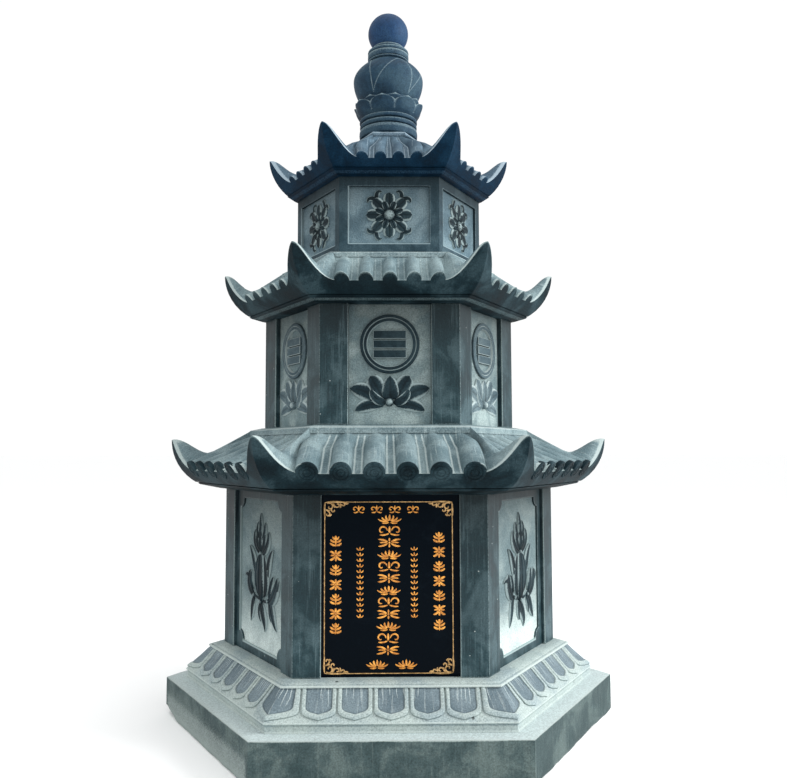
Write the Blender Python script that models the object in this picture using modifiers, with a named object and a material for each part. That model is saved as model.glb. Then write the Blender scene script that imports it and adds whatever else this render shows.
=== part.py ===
"""Carved stone tower: a free-standing hexagonal memorial tower in three storeys.

The tower stands on a plain plinth and a lotus course. Each storey carries one roof stone whose
eaves sweep up into six tips, and a turned finial closes the top. The front of the tower faces -Y,
its corners lie at every 60 degrees from +X, and the origin is at the centre of the plinth's foot.
Every size is in metres.
"""
import math

import bmesh
import bpy
from mathutils import Matrix, Vector

# Plan of the tower
SIDES = 6
HALF_ANGLE = math.pi / SIDES
SEAT_GAP = 0.0003
CORNER_NAMES = ("right", "back_right", "back_left", "left", "front_left", "front_right")
FACE_NAMES = ("back_right", "back", "back_left", "front_left", "front", "front_right")
FRONT_FACE = FACE_NAMES.index("front")

# Heights of the bearing joints, from the ground up
PLINTH_TOP = 0.190
LOTUS_TOP = 0.375
LOWER_ROOF_FOOT = 1.198
MIDDLE_FOOT = 1.524
MIDDLE_ROOF_FOOT = 2.116
UPPER_FOOT = 2.401
UPPER_ROOF_FOOT = 2.798
FINIAL_FOOT = 3.150
RINGS_TOP = 3.262
LOTUS_CUP_TOP = 3.364
VASE_TOP = 3.594
COLLAR_TOP = 3.695

# Distance from the axis to the corners of each storey
PLINTH_RADIUS = 1.200
PLINTH_CHAMFER = 0.006
LOWER_RADIUS = 0.892
MIDDLE_RADIUS = 0.684
UPPER_RADIUS = 0.510

# Lotus course: foot of the fillet, lip of the petals, top of the petals, foot of the storey
FILLET_RADIUS = 1.088
FILLET_TOP = 0.226
PETAL_LIP_RADIUS = 1.102
PETAL_LIP_HEIGHT = 0.238
PETAL_BELLY_RADIUS = 1.060
PETAL_BELLY_HEIGHT = 0.278
PETAL_TOP_RADIUS = 0.972
PETAL_TOP_HEIGHT = 0.358
LOTUS_SEAT_RADIUS = 0.925

# Corner posts and the slabs between them
LOWER_POST_WIDTH = 0.130
MIDDLE_POST_WIDTH = 0.140
POST_DEPTH = 0.100
POST_CHAMFER = 0.004
LOWER_SETBACK = 0.020
MIDDLE_SETBACK = 0.028
PANEL_THICKNESS = 0.060
PANEL_BORDER = 0.034
FIELD_DEPTH = 0.010
FIELD_SLOPE = 0.006
PLAQUE_THICKNESS = 0.022
BACKING_THICKNESS = 0.050

# Upper storey: mitred slabs with a raised frame
UPPER_WALL_THICKNESS = 0.070
UPPER_FRAME_WIDTH = 0.052
UPPER_FIELD_DEPTH = 0.014
UPPER_FIELD_SLOPE = 0.005

# Roof stones. Radii are measured to the corners, heights from the ground.
# seat: foot of the stone; band: arris over the bearing band; tip: upswept corner;
# eave: height of the straight middle stretch; straight: its share of the side;
# rise: how late the eave climbs past it; sweep_start: where on the hip the crest starts to climb;
# trough_top and hip_top: where the troughs and the hips meet the ledge;
# ledge: raised step that the next piece stands on; rib: the round tiles of one side.
LOWER_ROOF = dict(
    foot=LOWER_ROOF_FOOT, seat_radius=0.925, band_radius=1.048, band_height=1.226,
    curve_radius=0.930, tip_radius=1.195, tip_height=1.461, fullness=2.0,
    eave_height=1.297, straight=0.60, rise=1.8, sweep_start=0.48,
    trough_top=1.442, hip_top=1.505, ledge_radius=0.767, ledge_top=1.510,
    rest_radius=0.700, top=MIDDLE_FOOT,
    ribs=6, rib_pitch=0.1455, rib_half_width=0.049, rib_height=0.044)
MIDDLE_ROOF = dict(
    foot=MIDDLE_ROOF_FOOT, seat_radius=0.705, band_radius=0.776, band_height=2.140,
    curve_radius=0.672, tip_radius=0.915, tip_height=2.371, fullness=1.9,
    eave_height=2.199, straight=0.54, rise=1.6, sweep_start=0.48,
    trough_top=2.330, hip_top=2.383, ledge_radius=0.596, ledge_top=2.388,
    rest_radius=0.526, top=UPPER_FOOT,
    ribs=5, rib_pitch=0.113, rib_half_width=0.0355, rib_height=0.037)
UPPER_ROOF = dict(
    foot=UPPER_ROOF_FOOT, seat_radius=0.526, band_radius=0.570, band_height=2.826,
    curve_radius=0.492, tip_radius=0.672, tip_height=3.030, fullness=1.7,
    eave_height=2.866, straight=0.42, rise=1.5, sweep_start=0.64,
    trough_top=3.104, hip_top=3.126, ledge_radius=0.180, ledge_top=3.140,
    rest_radius=0.172, top=FINIAL_FOOT,
    ribs=4, rib_pitch=0.090, rib_half_width=0.030, rib_height=0.029)
ROOF_HOLLOW = 1.15
FASCIA_SHARES = (0.30, 0.65, 1.0)
TILE_SHARES = (1.0, 0.90, 0.79, 0.67, 0.50, 0.28, 0.0)

# Round tiles: their section, as shares of half-width and height, the stretch from the outermost
# one to the hip, and how they draw together and flatten where a side is short
RIB_SECTION = ((-1.0, 0.0), (-0.72, 0.70), (0.0, 1.0), (0.72, 0.70), (1.0, 0.0))
OUTER_SHARES = (0.30, 0.55, 0.72, 0.86, 1.0)
RIB_MARGIN = 0.006
RIB_FLATTEST = 0.55
RIBLESS_STRETCH = 0.62

# Finial: turned pieces, as (radius, height above the piece's own foot)
TURNED_STEPS = 32
BALL_RADIUS = 0.114
BALL_SEAT_RADIUS = 0.082
BALL_CENTRE = COLLAR_TOP + math.sqrt(BALL_RADIUS ** 2 - BALL_SEAT_RADIUS ** 2)
BALL_RINGS = 14
RING_RADIUS = 0.163
RING_FILLET = 0.147
RING_COUNT = 3
RING_FOOT_RADIUS = 0.156
CUP_FOOT_RADIUS = 0.157
CUP_RIM_RADIUS = 0.196
VASE_FOOT_RADIUS = 0.158
VASE_BELLY_RADIUS = 0.197
VASE_BELLY_SHARE = 0.52
VASE_NECK_RADIUS = 0.112
VASE_RINGS = 12
COLLAR_RADIUS = 0.116
COLLAR_NECK_RADIUS = 0.104
COLLAR_LIP_RADIUS = 0.088

SMOOTH_ANGLE = math.radians(32.0)
MERGE_DISTANCE = 0.00005

# Colours (linear), roughness and metallic value of each finish
FINISHES = {
    "honed_dark_granite": ((0.055, 0.095, 0.105, 1.0), 0.55, 0.0),
    "picked_pale_granite": ((0.260, 0.340, 0.350, 1.0), 0.85, 0.0),
    "sawn_plinth_granite": ((0.160, 0.220, 0.225, 1.0), 0.70, 0.0),
    "carved_lotus_granite": ((0.280, 0.350, 0.360, 1.0), 0.75, 0.0),
    "polished_black_granite": ((0.006, 0.009, 0.014, 1.0), 0.12, 0.0),
    "carved_roof_granite": ((0.120, 0.175, 0.185, 1.0), 0.70, 0.0),
    "blue_slate_granite": ((0.040, 0.085, 0.135, 1.0), 0.60, 0.0),
}


def clear_scene():
    """Remove every object that the start-up file brings."""
    for old in list(bpy.data.objects):
        bpy.data.objects.remove(old, do_unlink=True)


def stone(finish):
    """Return the Principled material of one stone finish, made on first use."""
    found = bpy.data.materials.get(finish)
    if found:
        return found
    colour, roughness, metallic = FINISHES[finish]
    material = bpy.data.materials.new(finish)
    material.use_nodes = True
    shader = material.node_tree.nodes["Principled BSDF"]
    shader.inputs["Base Color"].default_value = colour
    shader.inputs["Roughness"].default_value = roughness
    shader.inputs["Metallic"].default_value = metallic
    material.diffuse_color = colour
    return material


def place(name, data, finish, collection, location=(0.0, 0.0, 0.0), turn=0.0):
    """Put mesh or curve data into the scene as one named piece."""
    piece = bpy.data.objects.new(name, data)
    piece.location = location
    piece.rotation_euler = (0.0, 0.0, turn)
    data.materials.append(stone(finish))
    collection.objects.link(piece)
    return piece


def chamfer(piece, width):
    """Weld the piece and take a small chamfer off its edges."""
    weld = piece.modifiers.new("weld", "WELD")
    weld.merge_threshold = 0.0001
    bevel = piece.modifiers.new("chamfer", "BEVEL")
    bevel.width = width
    bevel.segments = 1
    bevel.limit_method = "ANGLE"


def corner_angle(index):
    """Direction of a corner from the axis."""
    return 2.0 * HALF_ANGLE * index


def face_angle(index):
    """Direction of a face from the axis."""
    return HALF_ANGLE + 2.0 * HALF_ANGLE * index


def apothem(radius):
    """Distance from the axis to the flat of a hexagon of this corner radius."""
    return radius * math.cos(HALF_ANGLE)


def turned(name, profile, finish, collection, foot, steps=TURNED_STEPS, smooth=True):
    """Turn a profile, given from its top to its foot, about the axis."""
    mesh = bpy.data.meshes.new(name)
    points = [(radius, 0.0, height) for radius, height in profile]
    mesh.from_pydata(points, [(i, i + 1) for i in range(len(points) - 1)], [])
    piece = place(name, mesh, finish, collection, (0.0, 0.0, foot))
    screw = piece.modifiers.new("turn", "SCREW")
    screw.steps = steps
    screw.render_steps = steps
    screw.use_merge_vertices = True
    screw.merge_threshold = 0.0001
    screw.use_smooth_shade = smooth
    return piece


def make_plinth(collection):
    """Plain hexagonal slab with slightly eased edges."""
    bpy.ops.mesh.primitive_cylinder_add(vertices=SIDES, radius=PLINTH_RADIUS, depth=PLINTH_TOP)
    piece = bpy.context.object
    piece.name = "plinth"
    piece.data.transform(Matrix.Rotation(HALF_ANGLE, 4, "Z"))
    piece.location = (0.0, 0.0, PLINTH_TOP / 2.0)
    piece.data.materials.append(stone("sawn_plinth_granite"))
    for old in list(piece.users_collection):
        old.objects.unlink(piece)
    collection.objects.link(piece)
    chamfer(piece, PLINTH_CHAMFER)


def make_lotus_base(collection):
    """Sloped course of lotus petals over an upright fillet, a six-sided turning."""
    foot = PLINTH_TOP + SEAT_GAP
    profile = (
        (0.0, LOTUS_TOP), (LOTUS_SEAT_RADIUS, LOTUS_TOP),
        (PETAL_TOP_RADIUS, PETAL_TOP_HEIGHT), (PETAL_BELLY_RADIUS, PETAL_BELLY_HEIGHT),
        (PETAL_LIP_RADIUS, PETAL_LIP_HEIGHT), (FILLET_RADIUS, FILLET_TOP),
        (FILLET_RADIUS, foot), (0.0, foot))
    turned("lotus_base", profile, "carved_lotus_granite", collection, 0.0, SIDES, False)


def post_outline(width, depth):
    """Plan of an obtuse post, with its outer arris at the origin and pointing to +X."""
    along = Vector((-math.sin(HALF_ANGLE), math.cos(HALF_ANGLE)))
    inward = Vector((-math.cos(HALF_ANGLE), -math.sin(HALF_ANGLE)))
    outer = along * width
    inner = outer + inward * depth
    heel = Vector((-depth / math.cos(HALF_ANGLE), 0.0))
    half = (outer, inner)
    mirrored = [Vector((point.x, -point.y)) for point in reversed(half)]
    return [Vector((0.0, 0.0)), *half, heel, *mirrored]


def post_curve(name, width, height):
    """Upright post: the obtuse outline as a flat curve, extruded to its height."""
    curve = bpy.data.curves.new(name, "CURVE")
    curve.dimensions = "2D"
    curve.fill_mode = "BOTH"
    curve.extrude = height / 2.0
    outline = post_outline(width, POST_DEPTH)
    spline = curve.splines.new("POLY")
    spline.points.add(len(outline) - 1)
    for point, place_at in zip(spline.points, outline):
        point.co = (place_at.x, place_at.y, 0.0, 1.0)
    spline.use_cyclic_u = True
    return curve


def make_posts(prefix, radius, width, foot, top, finish, collection):
    """Six posts, one at each corner of a storey."""
    height = top - foot - 2.0 * SEAT_GAP
    for index, corner in enumerate(CORNER_NAMES):
        angle = corner_angle(index)
        name = f"{prefix}_post_{corner}"
        spot = (radius * math.cos(angle), radius * math.sin(angle), (foot + top) / 2.0)
        post = place(name, post_curve(name, width, height), finish, collection, spot, angle)
        chamfer(post, POST_CHAMFER)


def slab_mesh(name, width, thickness, height, mitre=0.0):
    """Upright slab whose outer face lies in the plane Y = 0 and looks to -Y."""
    form = bmesh.new()
    bmesh.ops.create_cube(form, size=1.0)
    for vert in form.verts:
        inside = vert.co.y > 0.0
        half_width = width / 2.0 - (mitre if inside else 0.0)
        vert.co = Vector((
            math.copysign(half_width, vert.co.x),
            thickness if inside else 0.0,
            math.copysign(height / 2.0, vert.co.z)))
    mesh = bpy.data.meshes.new(name)
    form.to_mesh(mesh)
    form.free()
    return mesh


def sink_field(mesh, border, slope, depth):
    """Sink the middle of the slab's outer face, which leaves a raised border."""
    form = bmesh.new()
    form.from_mesh(mesh)
    outer = [face for face in form.faces if face.calc_center_median().y < depth]
    outer = [face for face in outer if abs(face.normal.y) > 0.9]
    bmesh.ops.inset_individual(form, faces=outer, thickness=border, depth=0.0)
    bmesh.ops.inset_individual(form, faces=outer, thickness=slope, depth=-depth)
    form.to_mesh(mesh)
    form.free()


def stand_slab(name, mesh, finish, collection, index, distance, foot, top):
    """Stand a slab in the bay of one face, its outer face this far from the axis."""
    angle = face_angle(index)
    spot = (distance * math.cos(angle), distance * math.sin(angle), (foot + top) / 2.0)
    return place(name, mesh, finish, collection, spot, angle + math.pi / 2.0)


def make_panels(prefix, radius, post_width, setback, foot, top, bays, border, collection):
    """Slabs between the posts of a storey, set back from the posts' faces."""
    width = radius - 2.0 * post_width - 2.0 * SEAT_GAP
    height = top - foot - 2.0 * SEAT_GAP
    distance = apothem(radius) - setback
    for index in bays:
        name = f"{prefix}_panel_{FACE_NAMES[index]}"
        mesh = slab_mesh(name, width, PANEL_THICKNESS, height)
        if border:
            sink_field(mesh, border, FIELD_SLOPE, FIELD_DEPTH)
        stand_slab(name, mesh, "picked_pale_granite", collection, index, distance, foot, top)


def make_plaque(collection):
    """Polished plaque in the front bay of the lower storey, over its backing slab."""
    width = LOWER_RADIUS - 2.0 * LOWER_POST_WIDTH - 2.0 * SEAT_GAP
    height = LOWER_ROOF_FOOT - LOTUS_TOP - 2.0 * SEAT_GAP
    face = apothem(LOWER_RADIUS) - LOWER_SETBACK
    plaque = slab_mesh("plaque", width, PLAQUE_THICKNESS, height)
    stand_slab("plaque", plaque, "polished_black_granite", collection, FRONT_FACE,
               face, LOTUS_TOP, LOWER_ROOF_FOOT)
    behind = face - PLAQUE_THICKNESS - SEAT_GAP
    backing = slab_mesh("plaque_backing", width, BACKING_THICKNESS, height)
    stand_slab("plaque_backing", backing, "picked_pale_granite", collection, FRONT_FACE,
               behind, LOTUS_TOP, LOWER_ROOF_FOOT)


def make_upper_walls(collection):
    """Six mitred slabs with a raised frame round a sunk field."""
    mitre_gap = SEAT_GAP / math.cos(HALF_ANGLE)
    width = UPPER_RADIUS - mitre_gap
    height = UPPER_ROOF_FOOT - UPPER_FOOT - 2.0 * SEAT_GAP
    mitre = UPPER_WALL_THICKNESS * math.tan(HALF_ANGLE)
    for index, face in enumerate(FACE_NAMES):
        name = f"upper_wall_{face}"
        mesh = slab_mesh(name, width, UPPER_WALL_THICKNESS, height, mitre)
        sink_field(mesh, UPPER_FRAME_WIDTH, UPPER_FIELD_SLOPE, UPPER_FIELD_DEPTH)
        stand_slab(name, mesh, "honed_dark_granite", collection, index,
                   apothem(UPPER_RADIUS), UPPER_FOOT, UPPER_ROOF_FOOT)


def smooth_step(share):
    """Even passage from 0 to 1: three squares less two cubes of the share."""
    share = min(1.0, max(0.0, share))
    return share * share * (3.0 - 2.0 * share)


def eave_lift(roof, share):
    """How far up the eave has swept at this share of the half side, from 0 to 1.

    The squared sine of a quarter turn, which rounds the blade off at its tip.
    """
    past = min(1.0, max(0.0, abs(share) - roof["straight"]) / (1.0 - roof["straight"]))
    return math.sin(0.5 * math.pi * past ** roof["rise"]) ** 2


def eave_height(roof, share):
    """Height of the eave's upper edge: level in the middle, swept up to the tips."""
    rise = roof["tip_height"] - roof["eave_height"]
    return roof["eave_height"] + rise * eave_lift(roof, share)


def fascia_apothem(roof, height):
    """Distance of the outer face from the axis at a height: a quarter superellipse up to the tip.

    With x and y the shares of the way out and of the way down from the tip, x^n + y^n = 1.
    """
    down = (roof["tip_height"] - height) / (roof["tip_height"] - roof["foot"])
    down = min(1.0, max(0.0, down))
    out = (1.0 - down ** roof["fullness"]) ** (1.0 / roof["fullness"])
    return apothem(roof["curve_radius"] + (roof["tip_radius"] - roof["curve_radius"]) * out)


def rib_zone(roof):
    """Half the stretch of a side that the round tiles take up."""
    return 0.5 * (roof["ribs"] - 1) * roof["rib_pitch"] + roof["rib_half_width"]


def roof_columns(roof):
    """Columns of one side, as (place across, share beyond the round tiles, rib's height)."""
    zone = rib_zone(roof)
    columns = [(-zone, -share, 0.0) for share in reversed(OUTER_SHARES)]
    for rib in range(roof["ribs"]):
        centre = (rib - 0.5 * (roof["ribs"] - 1)) * roof["rib_pitch"]
        for across, height in RIB_SECTION:
            columns.append((centre + across * roof["rib_half_width"], 0.0, height))
    columns.extend((zone, share, 0.0) for share in OUTER_SHARES[:-1])
    return columns


def squeeze(roof, distance):
    """How much the round tiles draw together where the side is this far from the axis."""
    half_side = distance * math.tan(HALF_ANGLE)
    return min(1.0, (half_side - RIB_MARGIN) / rib_zone(roof))


def column_share(roof, column, distance):
    """Share of the half side at a column, on a side this far from the axis."""
    half_side = distance * math.tan(HALF_ANGLE)
    taken = squeeze(roof, distance)
    beyond = 1.0 - rib_zone(roof) * taken / half_side
    return column[0] * taken / half_side + column[1] * beyond


def roof_ring(roof, distance, section):
    """One closed ring round the roof; section gives (distance, height) by share and column."""
    ring = []
    for index in range(SIDES):
        angle = face_angle(index)
        normal = Vector((math.cos(angle), math.sin(angle), 0.0))
        along = Vector((-math.sin(angle), math.cos(angle), 0.0))
        for column in roof_columns(roof):
            share = column_share(roof, column, distance)
            out, height = section(share, column)
            across = share * out * math.tan(HALF_ANGLE)
            ring.append(normal * out + along * across + Vector((0.0, 0.0, height)))
    return ring


def level_ring(roof, radius, height):
    """A plain hexagon at one height."""
    return roof_ring(roof, apothem(radius), lambda share, column: (apothem(radius), height))


def fascia_ring(roof, part):
    """A ring on the outer face, this part of the way from the band up to the eave."""
    low = roof["band_height"]
    middle = fascia_apothem(roof, low + part * (roof["eave_height"] - low))

    def section(share, column):
        height = low + part * (eave_height(roof, share) - low)
        return fascia_apothem(roof, height), height
    return roof_ring(roof, middle, section)


def tile_ring(roof, part):
    """A ring on the tiled slope, this part of the way from the ledge out to the eave."""
    inner = apothem(roof["ledge_radius"])
    middle = inner + part * (fascia_apothem(roof, roof["eave_height"]) - inner)
    rib_height = roof["rib_height"] * max(RIB_FLATTEST, squeeze(roof, middle))
    climb = smooth_step((part - roof["sweep_start"]) / (1.0 - roof["sweep_start"]))

    def section(share, column):
        rib = column[2] * rib_height
        hip = smooth_step(abs(column[1]) / RIBLESS_STRETCH)
        top = roof["trough_top"] + (roof["hip_top"] - roof["trough_top"]) * hip
        fall = (top - roof["eave_height"]) * (1.0 - (1.0 - part) ** ROOF_HOLLOW)
        eave = eave_height(roof, share)
        height = top - fall + (eave - roof["eave_height"]) * climb + rib
        return inner + part * (fascia_apothem(roof, eave + rib) - inner), height
    return roof_ring(roof, middle, section)


def roof_rings(roof):
    """All rings of a roof stone, from the rim of its foot out and up to the rim of its top."""
    rings = [level_ring(roof, roof["seat_radius"], roof["foot"])]
    rings.append(level_ring(roof, roof["band_radius"], roof["band_height"]))
    rings.extend(fascia_ring(roof, part) for part in FASCIA_SHARES)
    rings.extend(tile_ring(roof, part) for part in TILE_SHARES)
    rings.append(level_ring(roof, roof["ledge_radius"], roof["ledge_top"]))
    rings.append(level_ring(roof, roof["rest_radius"], roof["top"]))
    return rings


def loft(name, rings):
    """Join rings of unlike shape with quads and close both ends with a fan."""
    form = bmesh.new()
    rows = [[form.verts.new(point) for point in ring] for ring in rings]
    count = len(rows[0])
    for lower, upper in zip(rows, rows[1:]):
        for i in range(count):
            j = (i + 1) % count
            form.faces.new((lower[i], lower[j], upper[j], upper[i]))
    foot_centre = form.verts.new((0.0, 0.0, rings[0][0].z))
    top_centre = form.verts.new((0.0, 0.0, rings[-1][0].z))
    for i in range(count):
        j = (i + 1) % count
        form.faces.new((foot_centre, rows[0][j], rows[0][i]))
        form.faces.new((top_centre, rows[-1][i], rows[-1][j]))
    bmesh.ops.remove_doubles(form, verts=form.verts, dist=MERGE_DISTANCE)
    mesh = bpy.data.meshes.new(name)
    form.to_mesh(mesh)
    form.free()
    mesh.shade_smooth()
    mesh.set_sharp_from_angle(angle=SMOOTH_ANGLE)
    return mesh


def make_roof(name, roof, finish, collection):
    """One roof stone."""
    place(name, loft(name, roof_rings(roof)), finish, collection)


def make_finial_rings(collection):
    """Drum of round mouldings that the lotus cup stands on."""
    height = RINGS_TOP - FINIAL_FOOT - 2.0 * SEAT_GAP
    pitch = height / RING_COUNT
    profile = [(0.0, height)]
    for ring in range(RING_COUNT):
        top = height - ring * pitch
        profile.append((RING_FILLET, top))
        profile.append((RING_RADIUS, top - 0.30 * pitch))
        profile.append((RING_RADIUS, top - 0.70 * pitch))
    profile.append((RING_FOOT_RADIUS, 0.0))
    profile.append((0.0, 0.0))
    turned("finial_rings", profile, "blue_slate_granite", collection, FINIAL_FOOT + SEAT_GAP)


def make_finial_lotus(collection):
    """Open lotus cup under the vase."""
    height = LOTUS_CUP_TOP - RINGS_TOP - SEAT_GAP
    profile = (
        (0.0, height), (VASE_FOOT_RADIUS, height), (CUP_RIM_RADIUS - 0.012, 0.86 * height),
        (CUP_RIM_RADIUS, 0.62 * height), (CUP_RIM_RADIUS - 0.018, 0.34 * height),
        (CUP_FOOT_RADIUS, 0.0), (0.0, 0.0))
    turned("finial_lotus", profile, "blue_slate_granite", collection, RINGS_TOP)


def make_finial_vase(collection):
    """Round-bellied vase: a half sine swell between its foot and its neck."""
    height = VASE_TOP - LOTUS_CUP_TOP - SEAT_GAP
    profile = [(0.0, height)]
    for step in range(VASE_RINGS + 1):
        share = 1.0 - step / VASE_RINGS
        if share > VASE_BELLY_SHARE:
            swell = math.sin(0.5 * math.pi * (1.0 - share) / (1.0 - VASE_BELLY_SHARE))
            radius = VASE_NECK_RADIUS + (VASE_BELLY_RADIUS - VASE_NECK_RADIUS) * swell
        else:
            swell = math.sin(0.5 * math.pi * share / VASE_BELLY_SHARE)
            radius = VASE_FOOT_RADIUS + (VASE_BELLY_RADIUS - VASE_FOOT_RADIUS) * swell
        profile.append((radius, share * height))
    profile.append((0.0, 0.0))
    turned("finial_vase", profile, "blue_slate_granite", collection, LOTUS_CUP_TOP)


def make_finial_collar(collection):
    """Double-banded collar on the vase, with a narrow ring for the ball to sit on."""
    height = COLLAR_TOP - VASE_TOP - SEAT_GAP
    profile = (
        (0.0, height), (BALL_SEAT_RADIUS, height), (COLLAR_LIP_RADIUS, 0.95 * height),
        (COLLAR_LIP_RADIUS, 0.80 * height), (BALL_SEAT_RADIUS, 0.76 * height),
        (COLLAR_NECK_RADIUS, 0.74 * height), (COLLAR_RADIUS, 0.68 * height),
        (COLLAR_RADIUS, 0.48 * height), (COLLAR_NECK_RADIUS, 0.40 * height),
        (COLLAR_RADIUS, 0.32 * height), (COLLAR_RADIUS, 0.10 * height),
        (COLLAR_NECK_RADIUS, 0.0), (0.0, 0.0))
    turned("finial_collar", profile, "blue_slate_granite", collection, VASE_TOP)


def make_finial_ball(collection):
    """Ball that closes the finial, with a small flat at its foot to sit on."""
    seat = math.asin(BALL_SEAT_RADIUS / BALL_RADIUS)
    profile = []
    for step in range(BALL_RINGS + 1):
        angle = (math.pi - seat) * step / BALL_RINGS
        profile.append((BALL_RADIUS * math.sin(angle), BALL_RADIUS * math.cos(angle)))
    profile.append((0.0, -BALL_RADIUS * math.cos(seat)))
    turned("finial_ball", profile, "blue_slate_granite", collection, BALL_CENTRE)


def main():
    """Build the tower from the ground up."""
    clear_scene()
    tower = bpy.data.collections.new("stone_tower")
    bpy.context.scene.collection.children.link(tower)
    every_bay = range(SIDES)
    side_bays = [index for index in every_bay if index != FRONT_FACE]
    make_plinth(tower)
    make_lotus_base(tower)
    make_posts("lower", LOWER_RADIUS, LOWER_POST_WIDTH, LOTUS_TOP, LOWER_ROOF_FOOT,
               "honed_dark_granite", tower)
    make_panels("lower", LOWER_RADIUS, LOWER_POST_WIDTH, LOWER_SETBACK, LOTUS_TOP,
                LOWER_ROOF_FOOT, side_bays, PANEL_BORDER, tower)
    make_plaque(tower)
    make_roof("lower_roof", LOWER_ROOF, "carved_roof_granite", tower)
    make_posts("middle", MIDDLE_RADIUS, MIDDLE_POST_WIDTH, MIDDLE_FOOT, MIDDLE_ROOF_FOOT,
               "honed_dark_granite", tower)
    make_panels("middle", MIDDLE_RADIUS, MIDDLE_POST_WIDTH, MIDDLE_SETBACK, MIDDLE_FOOT,
                MIDDLE_ROOF_FOOT, every_bay, 0.0, tower)
    make_roof("middle_roof", MIDDLE_ROOF, "carved_roof_granite", tower)
    make_upper_walls(tower)
    make_roof("upper_roof", UPPER_ROOF, "blue_slate_granite", tower)
    make_finial_rings(tower)
    make_finial_lotus(tower)
    make_finial_vase(tower)
    make_finial_collar(tower)
    make_finial_ball(tower)


main()
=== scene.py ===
"""Visual model and studio scene of the carved stone pagoda.

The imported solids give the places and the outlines. This file dresses them: ribbed roofs with turned
tile ends, lotus petals, carved slabs, a gilded plaque and a turned finial, all in granite finishes.
Sizes are in metres unless a name says otherwise, the front faces -Y, and faces are counted from the
one at 30 degrees, anticlockwise seen from above.
"""
import math

import bmesh
import bpy
import numpy as np
from bpy.props import FloatProperty, FloatVectorProperty, PointerProperty
from bpy.types import Operator, Panel, PropertyGroup
from mathutils import Matrix


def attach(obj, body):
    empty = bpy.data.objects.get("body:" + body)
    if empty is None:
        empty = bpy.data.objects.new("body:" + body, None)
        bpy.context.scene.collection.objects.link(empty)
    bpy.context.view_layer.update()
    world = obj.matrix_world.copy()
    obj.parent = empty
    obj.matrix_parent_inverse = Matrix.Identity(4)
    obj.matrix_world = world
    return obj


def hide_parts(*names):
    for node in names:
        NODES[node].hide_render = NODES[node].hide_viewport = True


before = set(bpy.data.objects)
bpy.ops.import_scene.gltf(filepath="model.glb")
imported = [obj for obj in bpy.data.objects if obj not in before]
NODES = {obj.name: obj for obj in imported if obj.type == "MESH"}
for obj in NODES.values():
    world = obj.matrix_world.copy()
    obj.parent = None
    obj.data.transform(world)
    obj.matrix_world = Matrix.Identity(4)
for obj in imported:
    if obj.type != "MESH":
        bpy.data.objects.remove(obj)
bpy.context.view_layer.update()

bl_info = {
    "name": "Carved stone pagoda",
    "version": (1, 0, 0),
    "blender": (4, 5, 0),
    "location": "3D View > Sidebar > Pagoda",
    "description": "Dresses the solids of a hexagonal stone pagoda and sets up its studio",
    "category": "Object",
}

SIDES = 6
TAN_HALF = math.tan(math.pi / SIDES)
COS_HALF = math.cos(math.pi / SIDES)
FACE_NAMES = ("back_right", "back", "back_left", "front_left", "front", "front_right")
CORNER_NAMES = ("right", "back_right", "back_left", "left", "front_left", "front_right")
FRONT = FACE_NAMES.index("front")
BODY = "root"
# Bearing gap between stones, how deep a relief is set into its slab, how pale a leaf's edge is, as
# wear and painted highlight
SEAT_GAP = 0.0003
SINK = 0.002
EDGE_LIGHT = 1.25

# Roof stones: radii to the corners, heights from the ground, as in the solids, and the ribs.
# rise: how late the eave climbs; sweep_start: where on the hip its crest starts to climb;
# trough_top and hip_top: where the troughs and the hips meet the ledge; the tones: how pale (above 0)
# or dark (below 0) the ribs, troughs, lines beside them and bearing band are painted, as painted
# light and shade with some wear.
ROOFS = {
    "lower_roof": dict(
        foot=1.198, seat_radius=0.925, band_radius=1.048, band_height=1.226,
        curve_radius=0.930, tip_radius=1.195, tip_height=1.461, fullness=2.0,
        eave_height=1.297, straight=0.60, rise=1.8, sweep_start=0.48,
        trough_top=1.442, hip_top=1.505, ledge_radius=0.767, ledge_foot=1.480,
        ledge_top=1.512, rest_radius=0.700, top=1.524,
        ribs=6, pitch=0.1455, rib_half=0.049, rib_height=0.044, lip=0.0026,
        rib_tone=0.0, trough_tone=0.02, line_tone=0.70, band_tone=-1.0),
    "middle_roof": dict(
        foot=2.116, seat_radius=0.705, band_radius=0.776, band_height=2.140,
        curve_radius=0.672, tip_radius=0.915, tip_height=2.371, fullness=1.9,
        eave_height=2.199, straight=0.54, rise=1.6, sweep_start=0.48,
        trough_top=2.330, hip_top=2.383, ledge_radius=0.596, ledge_foot=2.362,
        ledge_top=2.390, rest_radius=0.526, top=2.401,
        ribs=5, pitch=0.113, rib_half=0.0355, rib_height=0.037, lip=0.0020,
        rib_tone=-0.10, trough_tone=0.06, line_tone=0.30, band_tone=0.26),
    "upper_roof": dict(
        foot=2.798, seat_radius=0.526, band_radius=0.570, band_height=2.826,
        curve_radius=0.492, tip_radius=0.672, tip_height=3.030, fullness=1.7,
        eave_height=2.866, straight=0.42, rise=1.5, sweep_start=0.64,
        trough_top=3.104, hip_top=3.126, ledge_radius=0.180, ledge_foot=3.122,
        ledge_top=3.142, rest_radius=0.172, top=3.150,
        ribs=4, pitch=0.090, rib_half=0.030, rib_height=0.029, lip=0.0016,
        rib_tone=-0.05, trough_tone=0.15, line_tone=0.50, band_tone=0.20),
}
# Rows up the outer face, rows of the tiles from the eave in, and columns from the ribs to the hip
FASCIA_PARTS = (0.0, 0.05, 0.15, 0.28, 0.42, 0.56, 0.68, 0.79, 0.88, 0.95, 1.0)
TILE_PARTS = (0.988, 0.970, 0.94, 0.90, 0.85, 0.80, 0.74, 0.68, 0.61, 0.54, 0.46, 0.37, 0.28, 0.20,
              0.13, 0.07, 0.03, 0.0)
OUTER_SHARES = (0.06, 0.14, 0.24, 0.35, 0.46, 0.56, 0.66, 0.75, 0.83, 0.90, 0.955, 1.0)
RIB_STEPS = 10
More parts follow.
